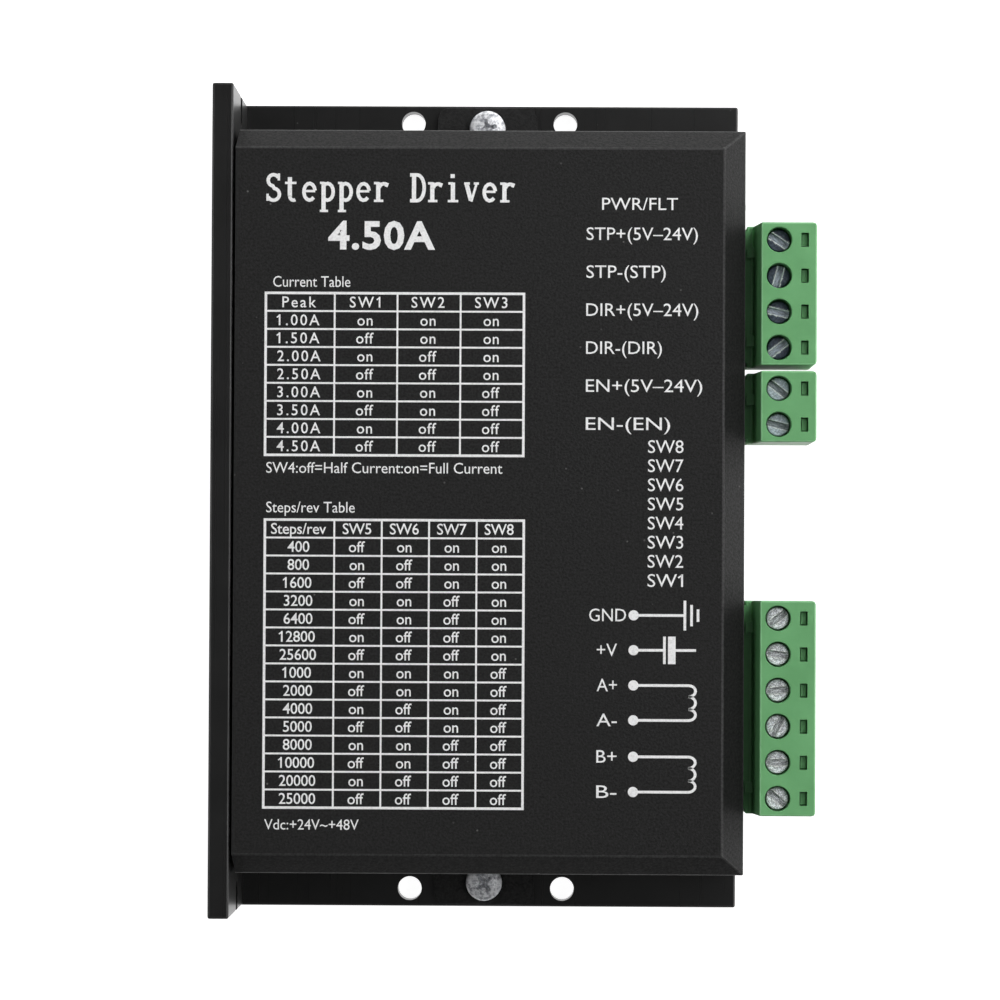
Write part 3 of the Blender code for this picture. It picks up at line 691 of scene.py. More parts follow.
def cover():
    brow = HEIGHT - BEVEL_HEIGHT
    tab = (FOOT_CENTRE_X - FOOT_WIDTH / 2, FOOT_CENTRE_X + FOOT_WIDTH / 2)
    tab_top = COVER_FOOT + SHEET

    def outside(bm):
        add_bevelled_box(
            bm, COVER_LEFT - 4, RIGHT, COVER_HALF_LENGTH, COVER_FOOT - 4, brow, FRONT, BEVEL_SIDE, BEVEL_END
        )

    def inside(bm):
        fold = SHEET * math.tan(math.radians(22.5))
        add_bevelled_box(
            bm, COVER_LEFT - 9, RIGHT - SHEET, COVER_HALF_LENGTH - SHEET, COVER_FOOT - 9,
            brow - fold, FRONT - SHEET, BEVEL_SIDE - fold, BEVEL_END - fold,
        )

    def trimmings(bm):
        """What lies below the foot, and left of an edge that leans out towards the front."""
        outline = [
            (RIGHT + 5, COVER_FOOT - 20), (RIGHT + 5, COVER_FOOT), (COVER_SKIRT_LEFT, COVER_FOOT),
            (COVER_SKIRT_LEFT, brow), (COVER_LEFT, FRONT), (COVER_LEFT, HEIGHT + 5),
            (COVER_LEFT - 20, HEIGHT + 5), (COVER_LEFT - 20, COVER_FOOT - 20),
        ]
        add_prism(bm, outline, (BOTTOM - 5, TOP + 5), "Y")

    def reliefs(bm):
        """Clears the skirt where each foot tab folds out of it, and a slit on both sides."""
        width, rise = RELIEF
        outline = rectangle((tab[0] - width, tab[1] + width), (COVER_FOOT - 1, COVER_FOOT + rise))
        margin = 0.5
        near, far = COVER_HALF_LENGTH - SHEET - margin, COVER_HALF_LENGTH + margin
        for ends in ((-far, -near), (near, far)):
            add_prism(bm, outline, ends, "Y")

    def foot_fold(end):
        """A strip of the skirt that folds outwards into the foot tab."""

        def draw(bm):
            outer, inner = COVER_HALF_LENGTH, COVER_HALF_LENGTH - SHEET
            root = COVER_FOOT + RELIEF[1] + 1
            corners = [
                (outer, root), (outer, tab_top), (FOOT_REACH, tab_top),
                (FOOT_REACH, COVER_FOOT), (inner, COVER_FOOT), (inner, root),
            ]
            outline = rounded(corners, [0, 0.5, 0.1, 0.1, 1.5, 0], steps=6)
            add_prism(bm, [(end * y, z) for y, z in outline], tab, "X")

        return draw

    def foot_outline(end):
        """The tab seen from the front: only what lies inside it is kept."""

        def draw(bm):
            y = (end * (COVER_HALF_LENGTH - SHEET - 1), end * FOOT_REACH)
            outline = rounded(rectangle(tab, y), [0, 0, FOOT_CORNER, FOOT_CORNER], steps=8)
            add_prism(bm, outline, (COVER_FOOT - 1, COVER_FOOT + 9), "Z")

        return draw

    def windows(bm):
        wall = (RIGHT - SHEET - 1, RIGHT + 1)
        spans = [(window_span("enable")[0], window_span("signal")[1]), window_span("power")]
        for y in spans:
            add_prism(bm, rounded(rectangle(y, WINDOW_Z), 0.5), wall, "X")
        centre = sum(DIP_Y) / 2
        half, low, high = DIP_WINDOW
        add_prism(bm, rounded(rectangle((centre - half, centre + half), (low, high)), 0.5), wall, "X")
        add_prism(bm, circle((LED_Y, LED_Z), LED_RADIUS + 0.2, 48), wall, "X")

    def screw_holes(bm):
        radius, high, low = 1.7, tab_top + 1, COVER_FOOT - 1
        for end in (-1, 1):
            place = at(FOOT_CENTRE_X, end * FOOT_SCREW_Y)
            add_turned(bm, [(0, high), (radius, high), (radius, low), (0, low)], turn=place)

    shell = build_mesh("cover_shell", outside)
    wear(shell, COAT, FOLD_HIGHLIGHT_COAT)
    # The rounded folds take the lighter coat in slot 1, a painted highlight.
    round_edges(shell, FOLD, segments=3, angle=20, slot=1)
    settle(shell)
    combine(shell, "DIFFERENCE", inside, trimmings, reliefs)
    for end in (-1, 1):
        strip = build_mesh("strip", foot_fold(end))
        wear(strip, COAT, FOLD_HIGHLIGHT_COAT)
        combine(strip, "INTERSECT", foot_outline(end))
        # The tab's rounded edges take the painted highlight too.
        round_edges(strip, 0.1, slot=1)
        settle(strip)
        use_tool(shell, "UNION", strip)
    combine(shell, "DIFFERENCE", windows, screw_holes)
    finish(shell, COAT, nodes=["cover"], smooth=30)


def pan_head_screws():
    """The cross recess screws of the cover, the board and the clamp bar."""
    names = ["cover_screw_top", "cover_screw_bottom", "clamp_bar_screw_1", "clamp_bar_screw_2"]
    names += [f"board_screw_{number}" for number in range(1, 5)]
    for turn, name in enumerate(names):
        x, y, _ = middle(name)
        tip, top = span(name)[2]
        radius = span(name)[0][1] - x
        height, dome_height, recess_depth = 2.0, 1.15, 1.3
        seat = top - height

        def crown(bm):
            dome = arc((0.0, height - dome_height), (radius, dome_height), 90, 8, steps=10)
            profile = [(0.0, height)] + dome[1:] + [(radius, 0.12), (radius - 0.12, 0.0)]
            shank = [(1.2, 0.0), (1.2, tip - seat + 0.4), (0.8, tip - seat), (0.0, tip - seat)]
            add_turned(bm, profile + shank, segments=48)

        def recess(bm):
            """A cross that narrows on the way down, with a flare where its arms meet."""
            arm, half = 1.75, 0.36
            quarter = [(half, arm), (half, 0.8), (0.8, half), (arm, half)]
            outline = []
            for angle in range(4):
                turned = Matrix.Rotation(-angle * math.pi / 2, 2)
                outline += [tuple(turned @ Vector(point)) for point in quarter]
            add_taper(bm, outline, height - recess_depth, height + 0.4, 0.42)

        screw = build_mesh(f"{name}_pan_head", crown)
        combine(screw, "DIFFERENCE", recess)
        screw.data.transform(Matrix.Rotation(math.radians(15 + 23 * turn), 4, "Z"))
        screw.location = Vector((x, y, seat)) * MM
        finish(screw, ZINC, nodes=[name], smooth=30)


# Pluggable terminals


def ways_of(label):
    """Y of each way, counted from the module's top edge down."""
    return [middle(f"{label}_screw_{number}")[1] for number in range(1, len(SLOT_ANGLES[label]) + 1)]


def plug(label):
    places = ways_of(label)
    low, high = span(f"{label}_plug")[1]

    def each_way(draw):
        """Makes what draw makes for the way at y at every way."""
        return lambda bm: [draw(bm, y) for y in places]

    def tower(bm):
        outline = [
            (PLUG_SHOULDER, PLUG_BOTTOM), (PLUG_FACE, PLUG_BOTTOM), (PLUG_FACE, PLUG_TOP),
            (PLUG_SLOPE[1], PLUG_TOP), (PLUG_SLOPE[0], TONGUE[1]), (PLUG_SHOULDER, TONGUE[1]),
        ]
        add_prism(bm, outline, (low, high), "Y")

    def tongue(bm):
        add_box(bm, (PLUG_BACK, PLUG_SHOULDER + 1), (low + 0.7, high - 0.7), TONGUE)

    def ribs(bm):
        """A rib a little inside each end way. The shortest plug has only the upper one."""
        inset, half, rise = 1.3, 0.75, (TONGUE[1] - 0.3, TONGUE[1] + 1.0)
        for y in (places[0] - inset, places[-1] + inset)[: 1 if len(places) < 3 else 2]:
            add_box(bm, (PLUG_SHOULDER, PLUG_SLOPE[0] + 0.5), (y - half, y + half), rise)

    @each_way
    def bores(bm, y):
        profile = bore_profile(SCREW_BORE_RADIUS, SCREW_SHOULDER, PLUG_TOP, 0.08)
        add_turned(bm, profile, 48, at(SCREW_X, y))

    @each_way
    def shank_bores(bm, y):
        ends = (CLAMP_SHAFT[1] - 1, SCREW_SHOULDER + 0.5)
        add_prism(bm, circle((SCREW_X, y), 1.5, 24), ends, "Z")

    @each_way
    def clamp_shafts(bm, y):
        half_x, half_y = 2.45, 2.25
        add_box(bm, (SCREW_X - half_x, SCREW_X + half_x), (y - half_y, y + half_y), CLAMP_SHAFT)

    @each_way
    def wire_entries(bm, y):
        """A rectangular way into the clamp."""
        outline = rounded(rectangle((y - WIRE_ENTRY[0], y + WIRE_ENTRY[0]), WIRE_ENTRY[1:]), 0.3)
        add_prism(bm, outline, (SCREW_X + 1, PLUG_FACE + 1), "X")

    @each_way
    def funnels(bm, y):
        sides = (y - WIRE_ENTRY[0], y + WIRE_ENTRY[0])
        add_funnel(bm, sides, WIRE_ENTRY[1:], 0.35, (PLUG_FACE - 1.2, PLUG_FACE + 0.05))

    @each_way
    def pin_pockets(bm, y):
        half, end = 1.0, 36.6
        add_box(bm, (PLUG_BACK - 1, end), (y - half, y + half), (PIN_Z - half, PIN_Z + half))

    @each_way
    def probe_slots(bm, y):
        half, near, far, floor = PROBE_SLOT
        outline = rounded(rectangle((near, far), (y - half, y + half)), 0.08, steps=2)
        add_prism(bm, outline, (floor, PLUG_TOP + 1), "Z")

    @each_way
    def probe_islands(bm, y):
        """The contact's cap, standing in the probe slot with a gap all round."""
        half, near, far, floor = PROBE_SLOT
        gap, top = PROBE_ISLAND
        add_box(bm, (near + gap, far - gap), (y - half + gap, y + half - gap), (floor - 0.3, top))

    def grooves(bm):
        """A shallow line between the ways, down the face."""
        size = 0.12
        x, z = (PLUG_FACE - size, PLUG_FACE + 1), (PLUG_BOTTOM + 1, PLUG_TOP - 1.5)
        for upper, lower in zip(places, places[1:]):
            y = (upper + lower) / 2
            add_box(bm, x, (y - size, y + size), z)

    def edge_weight(first, second):
        """Full for the two upright edges of the outer face."""
        outer = min(first.x, second.x) > PLUG_FACE - 0.01
        return 1.0 if outer and abs(first.y - second.y) < 0.01 else PLUG_EDGE / PLUG_CORNER

    body = build_mesh(f"{label}_plug_body", tower)
    wear(body, GREEN, EDGE_HIGHLIGHT_GREEN)
    # The rounded edges take the paler green in slot 1, a painted highlight.
    round_edges(body, PLUG_CORNER, segments=3, slot=1)
    weigh_edges(body, edge_weight)
    settle(body)
    combine(body, "UNION", tongue, ribs)
    combine(body, "DIFFERENCE", clamp_shafts, bores, shank_bores, wire_entries, funnels)
    combine(body, "DIFFERENCE", pin_pockets, probe_slots, grooves)
    combine(body, "UNION", probe_islands)
    finish(body, GREEN, body=f"{label}_plug", nodes=[f"{label}_plug"])

    @each_way
    def strips(bm, y):
        """The flat spring that lies over the wire."""
        add_box(bm, (SCREW_X - 2.0, SCREW_X + 1.9), (y - 1.15, y + 1.15), CONTACT_Z)

    contacts = build_mesh(f"{label}_contacts", strips)
    round_edges(contacts, 0.08)
    settle(contacts)
    finish(contacts, NICKEL, body=f"{label}_plug")


def add_funnel(bm, y, z, flare, x):
    """A taper along X, wider by flare at its far end."""
    before = set(bm.verts)
    add_box(bm, x, y, z)
    centre = Vector((0, sum(y) / 2, sum(z) / 2)) * MM
    for vertex in bm.verts:
        if vertex not in before and vertex.co.x > sum(x) / 2 * MM:
            vertex.co.y += math.copysign(flare * MM, vertex.co.y - centre.y)
            vertex.co.z += math.copysign(flare * MM, vertex.co.z - centre.z)


def terminal_screw(label, number):
    name = f"{label}_screw_{number}"
    x, y, _ = middle(name)
    tip, top = span(name)[2]
    seat = SCREW_SHOULDER + 0.3
    height = top - seat
    radius = SCREW_HEAD_RADIUS

    def blank(bm):
        end = tip - seat
        face = [(0.0, height), (radius * 0.6, height - 0.02), (radius - 0.12, height - 0.06)]
        side = [(radius, height - 0.2), (radius, 0.1), (radius - 0.1, 0.0)]
        shank = [(1.2, 0.0), (1.2, end + 0.3), (0.9, end), (0.0, end)]
        add_turned(bm, face + side + shank, segments=48)

    def slot(bm):
        """The slot, a little splayed at its top."""
        half, depth = 0.42, 0.85
        outline = [
            (-half - 0.5, height + 0.45), (half + 0.5, height + 0.45), (half, height - 0.09),
            (half - 0.04, height - depth), (-half + 0.04, height - depth), (-half, height - 0.09),
        ]
        add_prism(bm, outline, (-2, 2), "X")

    screw = build_mesh(f"{name}_slotted", blank)
    combine(screw, "DIFFERENCE", slot)
    screw.location = Vector((x, y, seat)) * MM
    screw.rotation_euler = (0, 0, math.radians(SLOT_ANGLES[label][number - 1]))
    finish(screw, SCREW_LOOKS[label], body=name, nodes=[name], smooth=30)


# Board side: DIP switch and status light


def dip_sliders():
    """White pips on a wider foot, with a ridge across the tip."""
    for number in range(1, DIP_WAYS + 1):
        name = f"dip_slider_{number}"
        x, y, z = span(name)

        def pip(bm):
            add_box(bm, (x[0], x[0] + 1.2), y, z)
            inset = 0.08
            narrow = [(low + inset, high - inset) for low, high in (y, z)]
            add_box(bm, (x[0] + 1.0, x[1] - 0.15), *narrow)

        def ridge(bm):
            outline = arc((sum(y) / 2, sum(z) / 2), (0.3, 0.45), 0, 337.5, steps=15)
            add_prism(bm, outline, (x[1] - 0.4, x[1]), "X")

        knob = build_mesh(f"{name}_pip", pip)
        round_edges(knob, 0.07)
        settle(knob)
        combine(knob, "UNION", ridge)
        finish(knob, DIP_WHITE, body=name, nodes=[name])


def status_light():
    """A 3 mm light lying along X, with a flange behind the cover and two leads down to the board."""
    length = LED_TIP - LED_BACK
    neck = length - LED_RADIUS
    lie = at(LED_BACK, LED_Y, LED_Z) @ Matrix.Rotation(math.pi / 2, 4, "Y")

    def dome(bm):
        tip = arc((0.0, neck), (LED_RADIUS, LED_RADIUS), 90, 0, steps=12)
        flange = [(LED_RADIUS, 1.0), (1.85, 0.95), (1.9, 0.85), (1.9, 0.05), (1.85, 0.0), (0.0, 0.0)]
        add_turned(bm, [(0.0, length)] + tip[1:] + flange, turn=lie)

    def leads(bm):
        """Two wires of square section, from inside the lens backwards and then down to the board."""
        low = span("status_led")[2][0]
        half, front, rear = 0.25, LED_BACK + 0.5, LED_BACK - 2.0
        for side in (-1, 1):
            y = LED_Y + side * 0.75
            outline = [
                (front, LED_Z - half), (front, LED_Z + half), (rear, LED_Z + half),
                (rear, low), (rear + 2 * half, low), (rear + 2 * half, LED_Z - half),
            ]
            add_prism(bm, rounded(outline, [0, 0, 0.6, 0, 0, 0.2], steps=4), (y - half, y + half), "Y")

    finish(build_mesh("status_led_lens", dome), LENS, nodes=["status_led"])
    finish(build_mesh("status_led_leads", leads), ZINC)


# Print. Each block of it is one piece, standing on the cover's front.


def text_outlines(text, bold=0.0, spacing=1.0):
    """The text as a mesh of the built-in font, one unit high and half a unit thick on both sides."""
    curve = bpy.data.curves.new("text", "FONT")
    curve.body = text
    curve.resolution_u = 3
    curve.offset = bold
    curve.space_character = spacing
    curve.extrude = 0.5
    obj = new_object("text", curve)
    graph = bpy.context.evaluated_depsgraph_get()
    mesh = bpy.data.meshes.new_from_object(obj.evaluated_get(graph))
    bpy.data.objects.remove(obj, do_unlink=True)
    return mesh


def x_span(mesh):
    along = [vertex.co.x for vertex in mesh.vertices]
    return min(along), max(along)


CAP_HEIGHT = max(vertex.co.y for vertex in text_outlines("H").vertices)
ONE_FLAG = ((-0.05, CAP_HEIGHT - 0.05), (-0.24, CAP_HEIGHT - 0.19))  # from the right edge of a plain 1


class Print:
    """A block of print under construction. Places and sizes are in millimetres on the cover's front,
    or on another face that turn lays it on."""

    def __init__(self, low=FRONT, high=HEIGHT, turn=Matrix.Identity(4)):
        self.bm = bmesh.new()
        self.low, self.high, self.turn = low, high, turn
        self.strokes = 0

    def words(self, text, x, y, height, width=None, centred=False, bold=0.0, spacing=1.0):
        """Text whose capitals are height high, standing on y. x is its left end, or its middle if it is
        centred, and width stretches it to that width."""
        mesh = text_outlines(text, bold, spacing)
        start, end = x_span(mesh)
        tall = height / CAP_HEIGHT
        wide = width / (end - start) if width else tall * 0.97
        offset = ((start + end) / 2 if centred else start) * wide
        deep, centre = self.high - self.low, (self.high + self.low) / 2
        fit = Matrix.Translation((x - offset, y, centre)) @ Matrix.Diagonal((wide, tall, deep, 1))
        mesh.transform(self.turn @ Matrix.Scale(MM, 4) @ fit)
        self.bm.from_mesh(mesh)
        bpy.data.meshes.remove(mesh)
        for place, letter in enumerate(text):
            if letter == "1":
                right = x_span(text_outlines(text[: place + 1], bold, spacing))[1]
                flag = [(right + along, up) for along, up in ONE_FLAG]
                points = [(x - offset + wide * along, y + tall * up) for along, up in flag]
                self.stroke(points, 0.085 * tall)

    def stroke(self, points, width, closed=False):
        """A line of the given width along the points, with mitred corners. Each one is a hair lower than
        the one before, so that no two crossing lines share a face."""
        hair = 0.0008
        points = [Vector(point) for point in points]
        high = self.high - hair * self.strokes
        self.strokes += 1
        sides = []
        for i, here in enumerate(points):
            before = points[i - 1] if i or closed else here
            after = points[(i + 1) % len(points)] if i + 1 < len(points) or closed else here
            onto = (here - before).normalized() if before != here else (after - here).normalized()
            away = (after - here).normalized() if after != here else onto
            along = (onto + away).normalized()
            reach = width / 2 / max(along.dot(onto), 0.7)
            sides.append(Vector((-along.y, along.x)) * reach)
        rows = [
            [self.turn @ (Vector((*(here + side * sign), z)) * MM) for here, side in zip(points, sides)]
            for sign, z in ((1, self.low), (1, high), (-1, high), (-1, self.low))
        ]
        rows = [[self.bm.verts.new(place) for place in row] for row in rows]
        count = len(points)
        for i in range(count if closed else count - 1):
            j = (i + 1) % count
            for first, second in zip(rows, rows[1:] + rows[:1]):
                self.bm.faces.new((first[i], first[j], second[j], second[i]))
        if not closed:
            self.bm.faces.new([row[0] for row in rows])
            self.bm.faces.new([row[-1] for row in rows][::-1])

    def dot(self, x, y, radius):
        self.stroke(circle((x, y), radius / 2, 24), radius, closed=True)

    def finish(self, name):
        bmesh.ops.remove_doubles(self.bm, verts=self.bm.verts, dist=0.0005 * MM)
        bmesh.ops.recalc_face_normals(self.bm, faces=self.bm.faces)
        obj = object_of(self.bm, name)
        obj.data.materials.append(INK)
        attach(obj, ROOT)


# Roman letters for the heading, as strokes in units of the capitals' height. The first number of each
# stroke is its width.
STEM, BOWL, SERIF = 0.15, 0.125, 0.085
ROMAN = {
    "S": [
        (BOWL, arc((0.27, 0.745), (0.19, 0.2), 28, 262) + arc((0.27, 0.25), (0.21, 0.21), 82, -155)),
        (SERIF, [(0.455, 0.99), (0.455, 0.74)]),
        (SERIF, [(0.06, 0.02), (0.06, 0.27)]),
    ],
    "t": [
        (STEM, [(0.21, 0.86), (0.21, 0.2)]),
        (BOWL, arc((0.34, 0.19), (0.13, 0.145), 180, 300, 7)),
        (SERIF, [(0.04, 0.655), (0.44, 0.655)]),
    ],
    "e": [
        (BOWL, arc((0.27, 0.345), (0.2, 0.295), 8, 318)),
        (SERIF, [(0.09, 0.37), (0.47, 0.37)]),
    ],
    "p": [
        (STEM, [(0.13, 0.69), (0.13, -0.33)]),
        (SERIF, [(0.0, 0.66), (0.15, 0.66)]),
        (SERIF, [(0.0, -0.33), (0.29, -0.33)]),
        (BOWL, arc((0.27, 0.345), (0.2, 0.295), 135, -135)),
    ],
    "r": [
        (STEM, [(0.15, 0.69), (0.15, 0.02)]),
        (SERIF, [(0.0, 0.66), (0.18, 0.66)]),
        (SERIF, [(0.0, 0.035), (0.33, 0.035)]),
        (BOWL, arc((0.35, 0.45), (0.17, 0.19), 165, 62, 6)),
        (STEM, [(0.4, 0.62), (0.5, 0.58)]),
    ],
    "D": [
        (STEM, [(0.14, 0.99), (0.14, 0.01)]),
        (BOWL, [(0.0, 0.955)] + arc((0.25, 0.5), (0.25, 0.455), 90, -90, 16) + [(0.0, 0.045)]),
    ],
    "i": [
        (STEM, [(0.24, 0.69), (0.24, 0.02)]),
        (SERIF, [(0.08, 0.66), (0.25, 0.66)]),
        (SERIF, [(0.06, 0.035), (0.43, 0.035)]),
        (STEM, [(0.23, 0.99), (0.23, 0.85)]),
    ],
    "v": [
        (STEM, [(0.08, 0.66), (0.24, 0.06)]),
        (SERIF, [(0.255, 0.02), (0.44, 0.66)]),
        (SERIF, [(0.0, 0.66), (0.2, 0.66)]),
        (SERIF, [(0.34, 0.66), (0.52, 0.66)]),
    ],
    " ": [],
}


def heading():
    """The title in roman letters, and the highest current in bold below it."""
    text, left, baseline, height, advance = "Stepper Driver", -30.1, 42.2, 4.0, 2.545
    title = Print()
    for place, letter in enumerate(text):
        title.strokes = 0
        for weight, points in ROMAN[letter]:
            places = [(left + advance * place + x * height, baseline + y * height) for x, y in points]
            title.stroke(places, weight * height)
    title.words("4.50A", -21.26, 35.6, 3.7, width=15.1, bold=0.03, spacing=1.08)
    title.finish("print_heading")


def table(rows, columns, top, pitch, spacing):
    """A ruled table. columns holds the X of each upright rule. The first row is its header, and
    spacing is that of its letters."""
    grid = Print()
    bottom = top - pitch * len(rows)
    frame_weight, rule_weight = 0.36, 0.26
    grid.stroke(rectangle((columns[0], columns[-1]), (bottom, top)), frame_weight, closed=True)
    for x in columns[1:-1]:
        grid.stroke([(x, bottom), (x, top)], rule_weight)
    for row in range(1, len(rows)):
        y = top - pitch * row
        grid.stroke([(columns[0], y), (columns[-1], y)], rule_weight)
    for row, cells in enumerate(rows):
        for column, (text, left, right) in enumerate(zip(cells, columns, columns[1:])):
            x, baseline = (left + right) / 2 - 0.15, top - pitch * row - pitch / 2 - 0.74
            wide = spacing if column == 0 or row == 0 else 1.0 + (spacing - 1.0) / 3
            grid.words(text, x, baseline, 1.5, centred=True, bold=0.006, spacing=wide)
    return grid


def switch_states(count, switches):
    """For each setting, the switches' states: a binary count in which off stands for 1."""
    return [["off" if setting >> bit & 1 else "on" for bit in range(switches)] for setting in count]


def tables():
    currents = [f"{1 + step * 0.5:.2f}A" for step in range(8)]
    rows = [["Peak", "SW1", "SW2", "SW3"]]
    rows += [[value, *states] for value, states in zip(currents, switch_states(range(8), 3))]
    current = table(rows, (-30.0, -20.28, -11.42, -2.51, 6.42), 29.27, 2.541, 1.25)
    current.words("Current Table", -28.99, 30.15, 1.5, width=10.9)
    current.words("SW4:off=Half Current:on=Full Current", -29.82, 3.88, 1.5, width=33.3)
    current.finish("print_current_table")

    steps = [200 * 2 ** power for power in range(1, 8)]
    steps += [1000 * factor for factor in (1, 2, 4, 5, 8, 10, 20, 25)]
    rows = [["Steps/rev", "SW5", "SW6", "SW7", "SW8"]]
    rows += [[str(value), *states] for value, states in zip(steps, switch_states(range(1, 16), 4))]
    step = table(rows, (-29.95, -20.16, -13.47, -6.80, -0.09, 6.54), -2.72, 2.534, 0.98)
    step.words("Steps/rev Table", -29.79, -1.7, 1.5, width=12.5)
    step.words("Vdc:+24V~+48V", -29.81, -46.35, 1.45, width=13.3)
    step.finish("print_steps_table")


def labels():
    """Names beside the terminals, the status light and the DIP switch."""
    block = Print()
    names = ("STP+(5V–24V)", "STP-(STP)", "DIR+(5V–24V)", "DIR-(DIR)", "EN+(5V–24V)", "EN-(EN)")
    widths = (15.7, 11.2, 15.8, 10.7, 16.4, 11.9)
    top, bottom = 37.76, 10.95
    for row, (name, width) in enumerate(zip(names, widths)):
        y = top + (bottom - top) * row / (len(names) - 1)
        block.words(name, 15.2, y - 0.82, 1.76, width=width)
    block.words("PWR/FLT", 17.37, 41.2, 1.7, width=10.7)
    for row in range(DIP_WAYS):
        block.words(f"SW{DIP_WAYS - row}", 24.0, 7.75 - 2.695 * row - 0.83, 1.78, width=5.0)
    block.finish("print_labels")


def power_symbols():
    """Names and circuit symbols beside the power terminals: ground, a capacitor and two windings."""
    block = Print()
    rows = [-15.97, -20.88, -25.83, -30.74, -35.87, -40.82]
    dot_x, weight = 22.07, 0.38
    for y, name in zip(rows, ("GND", "+V", "A+", "A-", "B+", "B-")):
        left, width = (15.8, 5.2) if name == "GND" else (16.9, 2.85)
        block.words(name, left, y - 0.85, 1.76, width=width)
        block.dot(dot_x, y, 0.72)

    ground, supply = rows[:2]
    block.stroke([(dot_x, ground), (29.3, ground)], weight)
    for x, half in ((29.28, 2.1), (30.22, 1.5), (31.13, 0.88)):
        block.stroke([(x, ground - half), (x, ground + half)], weight)
    block.stroke([(dot_x, supply), (26.4, supply)], weight)
    block.stroke([(26.42, supply - 1.94), (26.42, supply + 1.94)], weight)
    block.stroke([(27.46, supply - 1.94), (27.46, supply + 1.94)], 1.07)
    block.stroke([(27.9, supply), (30.87, supply)], weight)

    for upper, lower in (rows[2:4], rows[4:6]):
        thirds = [upper + (lower - upper) * share for share in (0.0, 0.32, 0.68, 1.0)]
        coil = [(dot_x, upper)]
        for high, low in zip(thirds, thirds[1:]):
            coil += arc((29.85, (high + low) / 2), (0.97, (high - low) / 2), 90, -90, 10)
        coil.append((dot_x, lower))
        block.stroke(coil, weight)
    block.finish("print_power_symbols")


def dip_print():
    """ON and the switches' numbers, moulded on the switch's face, which looks along X."""
    face = Matrix(((0, 0, 1, 0), (1, 0, 0, 0), (0, 1, 0, 0), (0, 0, 0, 1)))
    block = Print(DIP_X[1], DIP_X[1] + 0.03, face)
    for number in range(1, DIP_WAYS + 1):
        block.words(str(number), middle(f"dip_slider_{number}")[1], DIP_Z[0] + 1.35, 0.95, centred=True)
    block.words("ON", middle("dip_slider_1")[1] - 0.6, DIP_Z[1] - 2.0, 0.95)
    block.finish("dip_print")


# CAD nodes that stay as they are, with rounded edges and a material


def dress_nodes():
    looks = {
        BOARD: (["main_board"], 0.1),
        DIP_RED: (["dip_body"], 0.12),
        GREEN: (["signal_header", "enable_header", "power_header"], 0.12),
        NICKEL: ([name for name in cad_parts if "_clamp_" in name], 0.1),
        SLEEVE: (["bulk_capacitor_1", "bulk_capacitor_2"], 0.1),
        EPOXY: (["controller_chip"] + [f"half_bridge_{number}" for number in range(1, 5)], 0.1),
        SILICONE: (["thermal_pad"], 0.08),
        STEEL_STRIP: (["clamp_bar"], 0.2),
    }
    for material, (names, width) in looks.items():
        for name in names:
            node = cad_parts[name]
            for material_slot in node.material_slots:
                material_slot.material = material
            weld = node.modifiers.new("weld", "WELD")
            weld.merge_threshold = 0.001 * MM
            flatten = node.modifiers.new("flatten", "DECIMATE")
            flatten.decimate_type = "DISSOLVE"
            flatten.angle_limit = math.radians(1)
            round_edges(node, width)


# Stage


def area_light(name, place, size, watts):
    """A soft panel at place, in metres, that faces the module."""
    light = bpy.data.lights.new(name, "AREA")
    light.shape = "RECTANGLE"
    light.size, light.size_y = size
    light.energy = watts
    obj = new_object(name, light)
    obj.location = place
    obj.rotation_euler = (-Vector(place)).to_track_quat("-Z", "Y").to_euler()
    obj.visible_camera = False


def glowing(name, strength, diffuse):
    """A pale stage material that shines a little, and can't be seen from behind."""
    material = bpy.data.materials.new(name)
    material.use_nodes = True
    nodes, links = material.node_tree.nodes, material.node_tree.links
    shader = nodes["Principled BSDF"]
    shader.inputs["Base Color"].default_value = (diffuse, diffuse, diffuse, 1.0)
    shader.inputs["Roughness"].default_value = 0.9
    shader.inputs["Emission Color"].default_value = (1.0, 1.0, 1.0, 1.0)
    shader.inputs["Emission Strength"].default_value = strength
    see_through, mix = nodes.new("ShaderNodeBsdfTransparent"), nodes.new("ShaderNodeMixShader")
    links.new(nodes.new("ShaderNodeNewGeometry").outputs["Backfacing"], mix.inputs["Fac"])
    links.new(shader.outputs["BSDF"], mix.inputs[1])
    links.new(see_through.outputs["BSDF"], mix.inputs[2])
    links.new(mix.outputs["Shader"], nodes["Material Output"].inputs["Surface"])
    return material


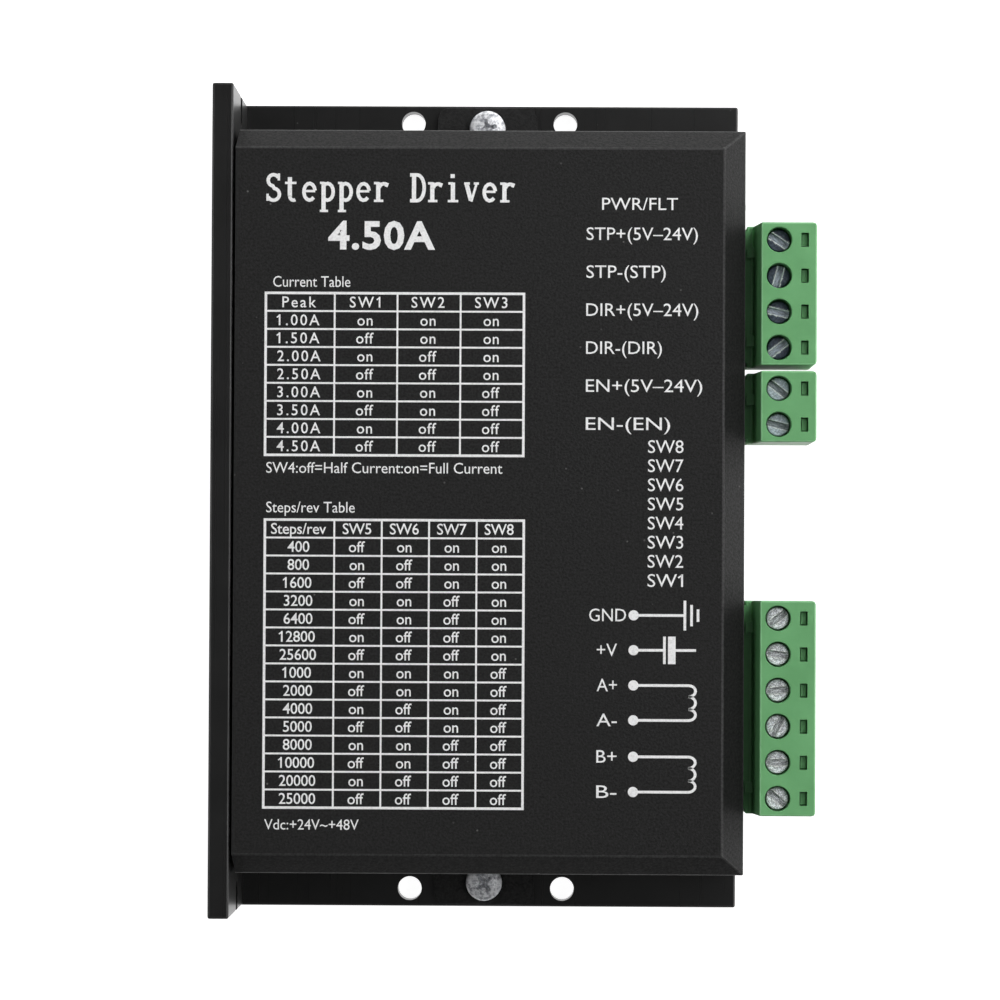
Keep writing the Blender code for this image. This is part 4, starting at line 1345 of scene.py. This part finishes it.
def stage():
    def half_floor(side):
        """The floor on the far side, 1, or the near side, -1, of the card's edge."""

        def draw(bm):
            bmesh.ops.create_circle(bm, cap_ends=True, radius=4.0, segments=96)
            bmesh.ops.translate(bm, verts=bm.verts, vec=(0, 0, (BACK - 0.05) * MM))
            everything = bm.verts[:] + bm.edges[:] + bm.faces[:]
            cut = {"plane_co": (0, FLOOR_CARD_Y, 0), "plane_no": (0, side, 0)}
            bmesh.ops.bisect_plane(bm, geom=everything, clear_inner=True, **cut)

        return draw

    def dome(bm):
        bmesh.ops.create_uvsphere(bm, u_segments=48, v_segments=24, radius=4.2)
        bmesh.ops.reverse_faces(bm, faces=bm.faces)

    parts = {
        "floor": (half_floor(1), 0.96, 0.5),
        "floor_near": (half_floor(-1), 0.96, 0.5),
        "backdrop": (dome, 1.0, 0.0),
    }
    for name, (draw, strength, diffuse) in parts.items():
        bm = bmesh.new()
        draw(bm)
        obj = object_of(bm, name)
        obj.data.materials.append(glowing(name, strength, diffuse))
        obj.visible_diffuse = obj.visible_shadow = False
        obj.visible_glossy = name == "floor"


def lights():
    area_light("right_panel", (0.5, 0.0, 0.75), (0.5, 0.5), 2.2)
    area_light("left_panel", (-0.5, 0.1, 0.75), (0.5, 0.5), 1.8)
    area_light("top_right_panel", (0.35, 0.38, 0.75), (0.5, 0.5), 2.0)
    area_light("overhead_panel", (0.0, 0.0, 1.2), (1.0, 1.0), 0.36)
    area_light("corner_panel", (0.32, 0.34, 0.25), (0.3, 0.3), 1.5)
    area_light("right_bounce", (0.9, 0.05, -0.3), (0.9, 0.4), 8.5)
    area_light("top_bounce", (0.05, 0.9, -0.3), (0.9, 0.4), 4.0)
    area_light("lower_fill", (0.0, -0.6, 0.3), (0.5, 0.3), 0.1)
    world = bpy.data.worlds.new("studio")
    world.use_nodes = True
    world.node_tree.nodes["Background"].inputs["Color"].default_value = (0.06, 0.06, 0.06, 1.0)
    bpy.context.scene.world = world
    bpy.context.scene.view_settings.view_transform = "Standard"


def camera():
    data = bpy.data.cameras.new("camera")
    data.lens = CAMERA_LENS
    data.clip_start, data.clip_end = 0.05, 20.0
    obj = new_object("camera", data)
    a, b, c = CAMERA_TURN
    turn = Matrix.Rotation(c, 4, "Z") @ Matrix.Rotation(b, 4, "Y") @ Matrix.Rotation(a, 4, "X")
    obj.matrix_world = Matrix.Translation(Vector(CAMERA_PLACE) * MM) @ turn.transposed()
    bpy.context.scene.camera = obj


heatsink()
cover()
pan_head_screws()
for label, angles in SLOT_ANGLES.items():
    plug(label)
    for number in range(1, len(angles) + 1):
        terminal_screw(label, number)
dip_sliders()
status_light()
dress_nodes()
heading()
tables()
labels()
power_symbols()
dip_print()
stage()
lights()
camera()
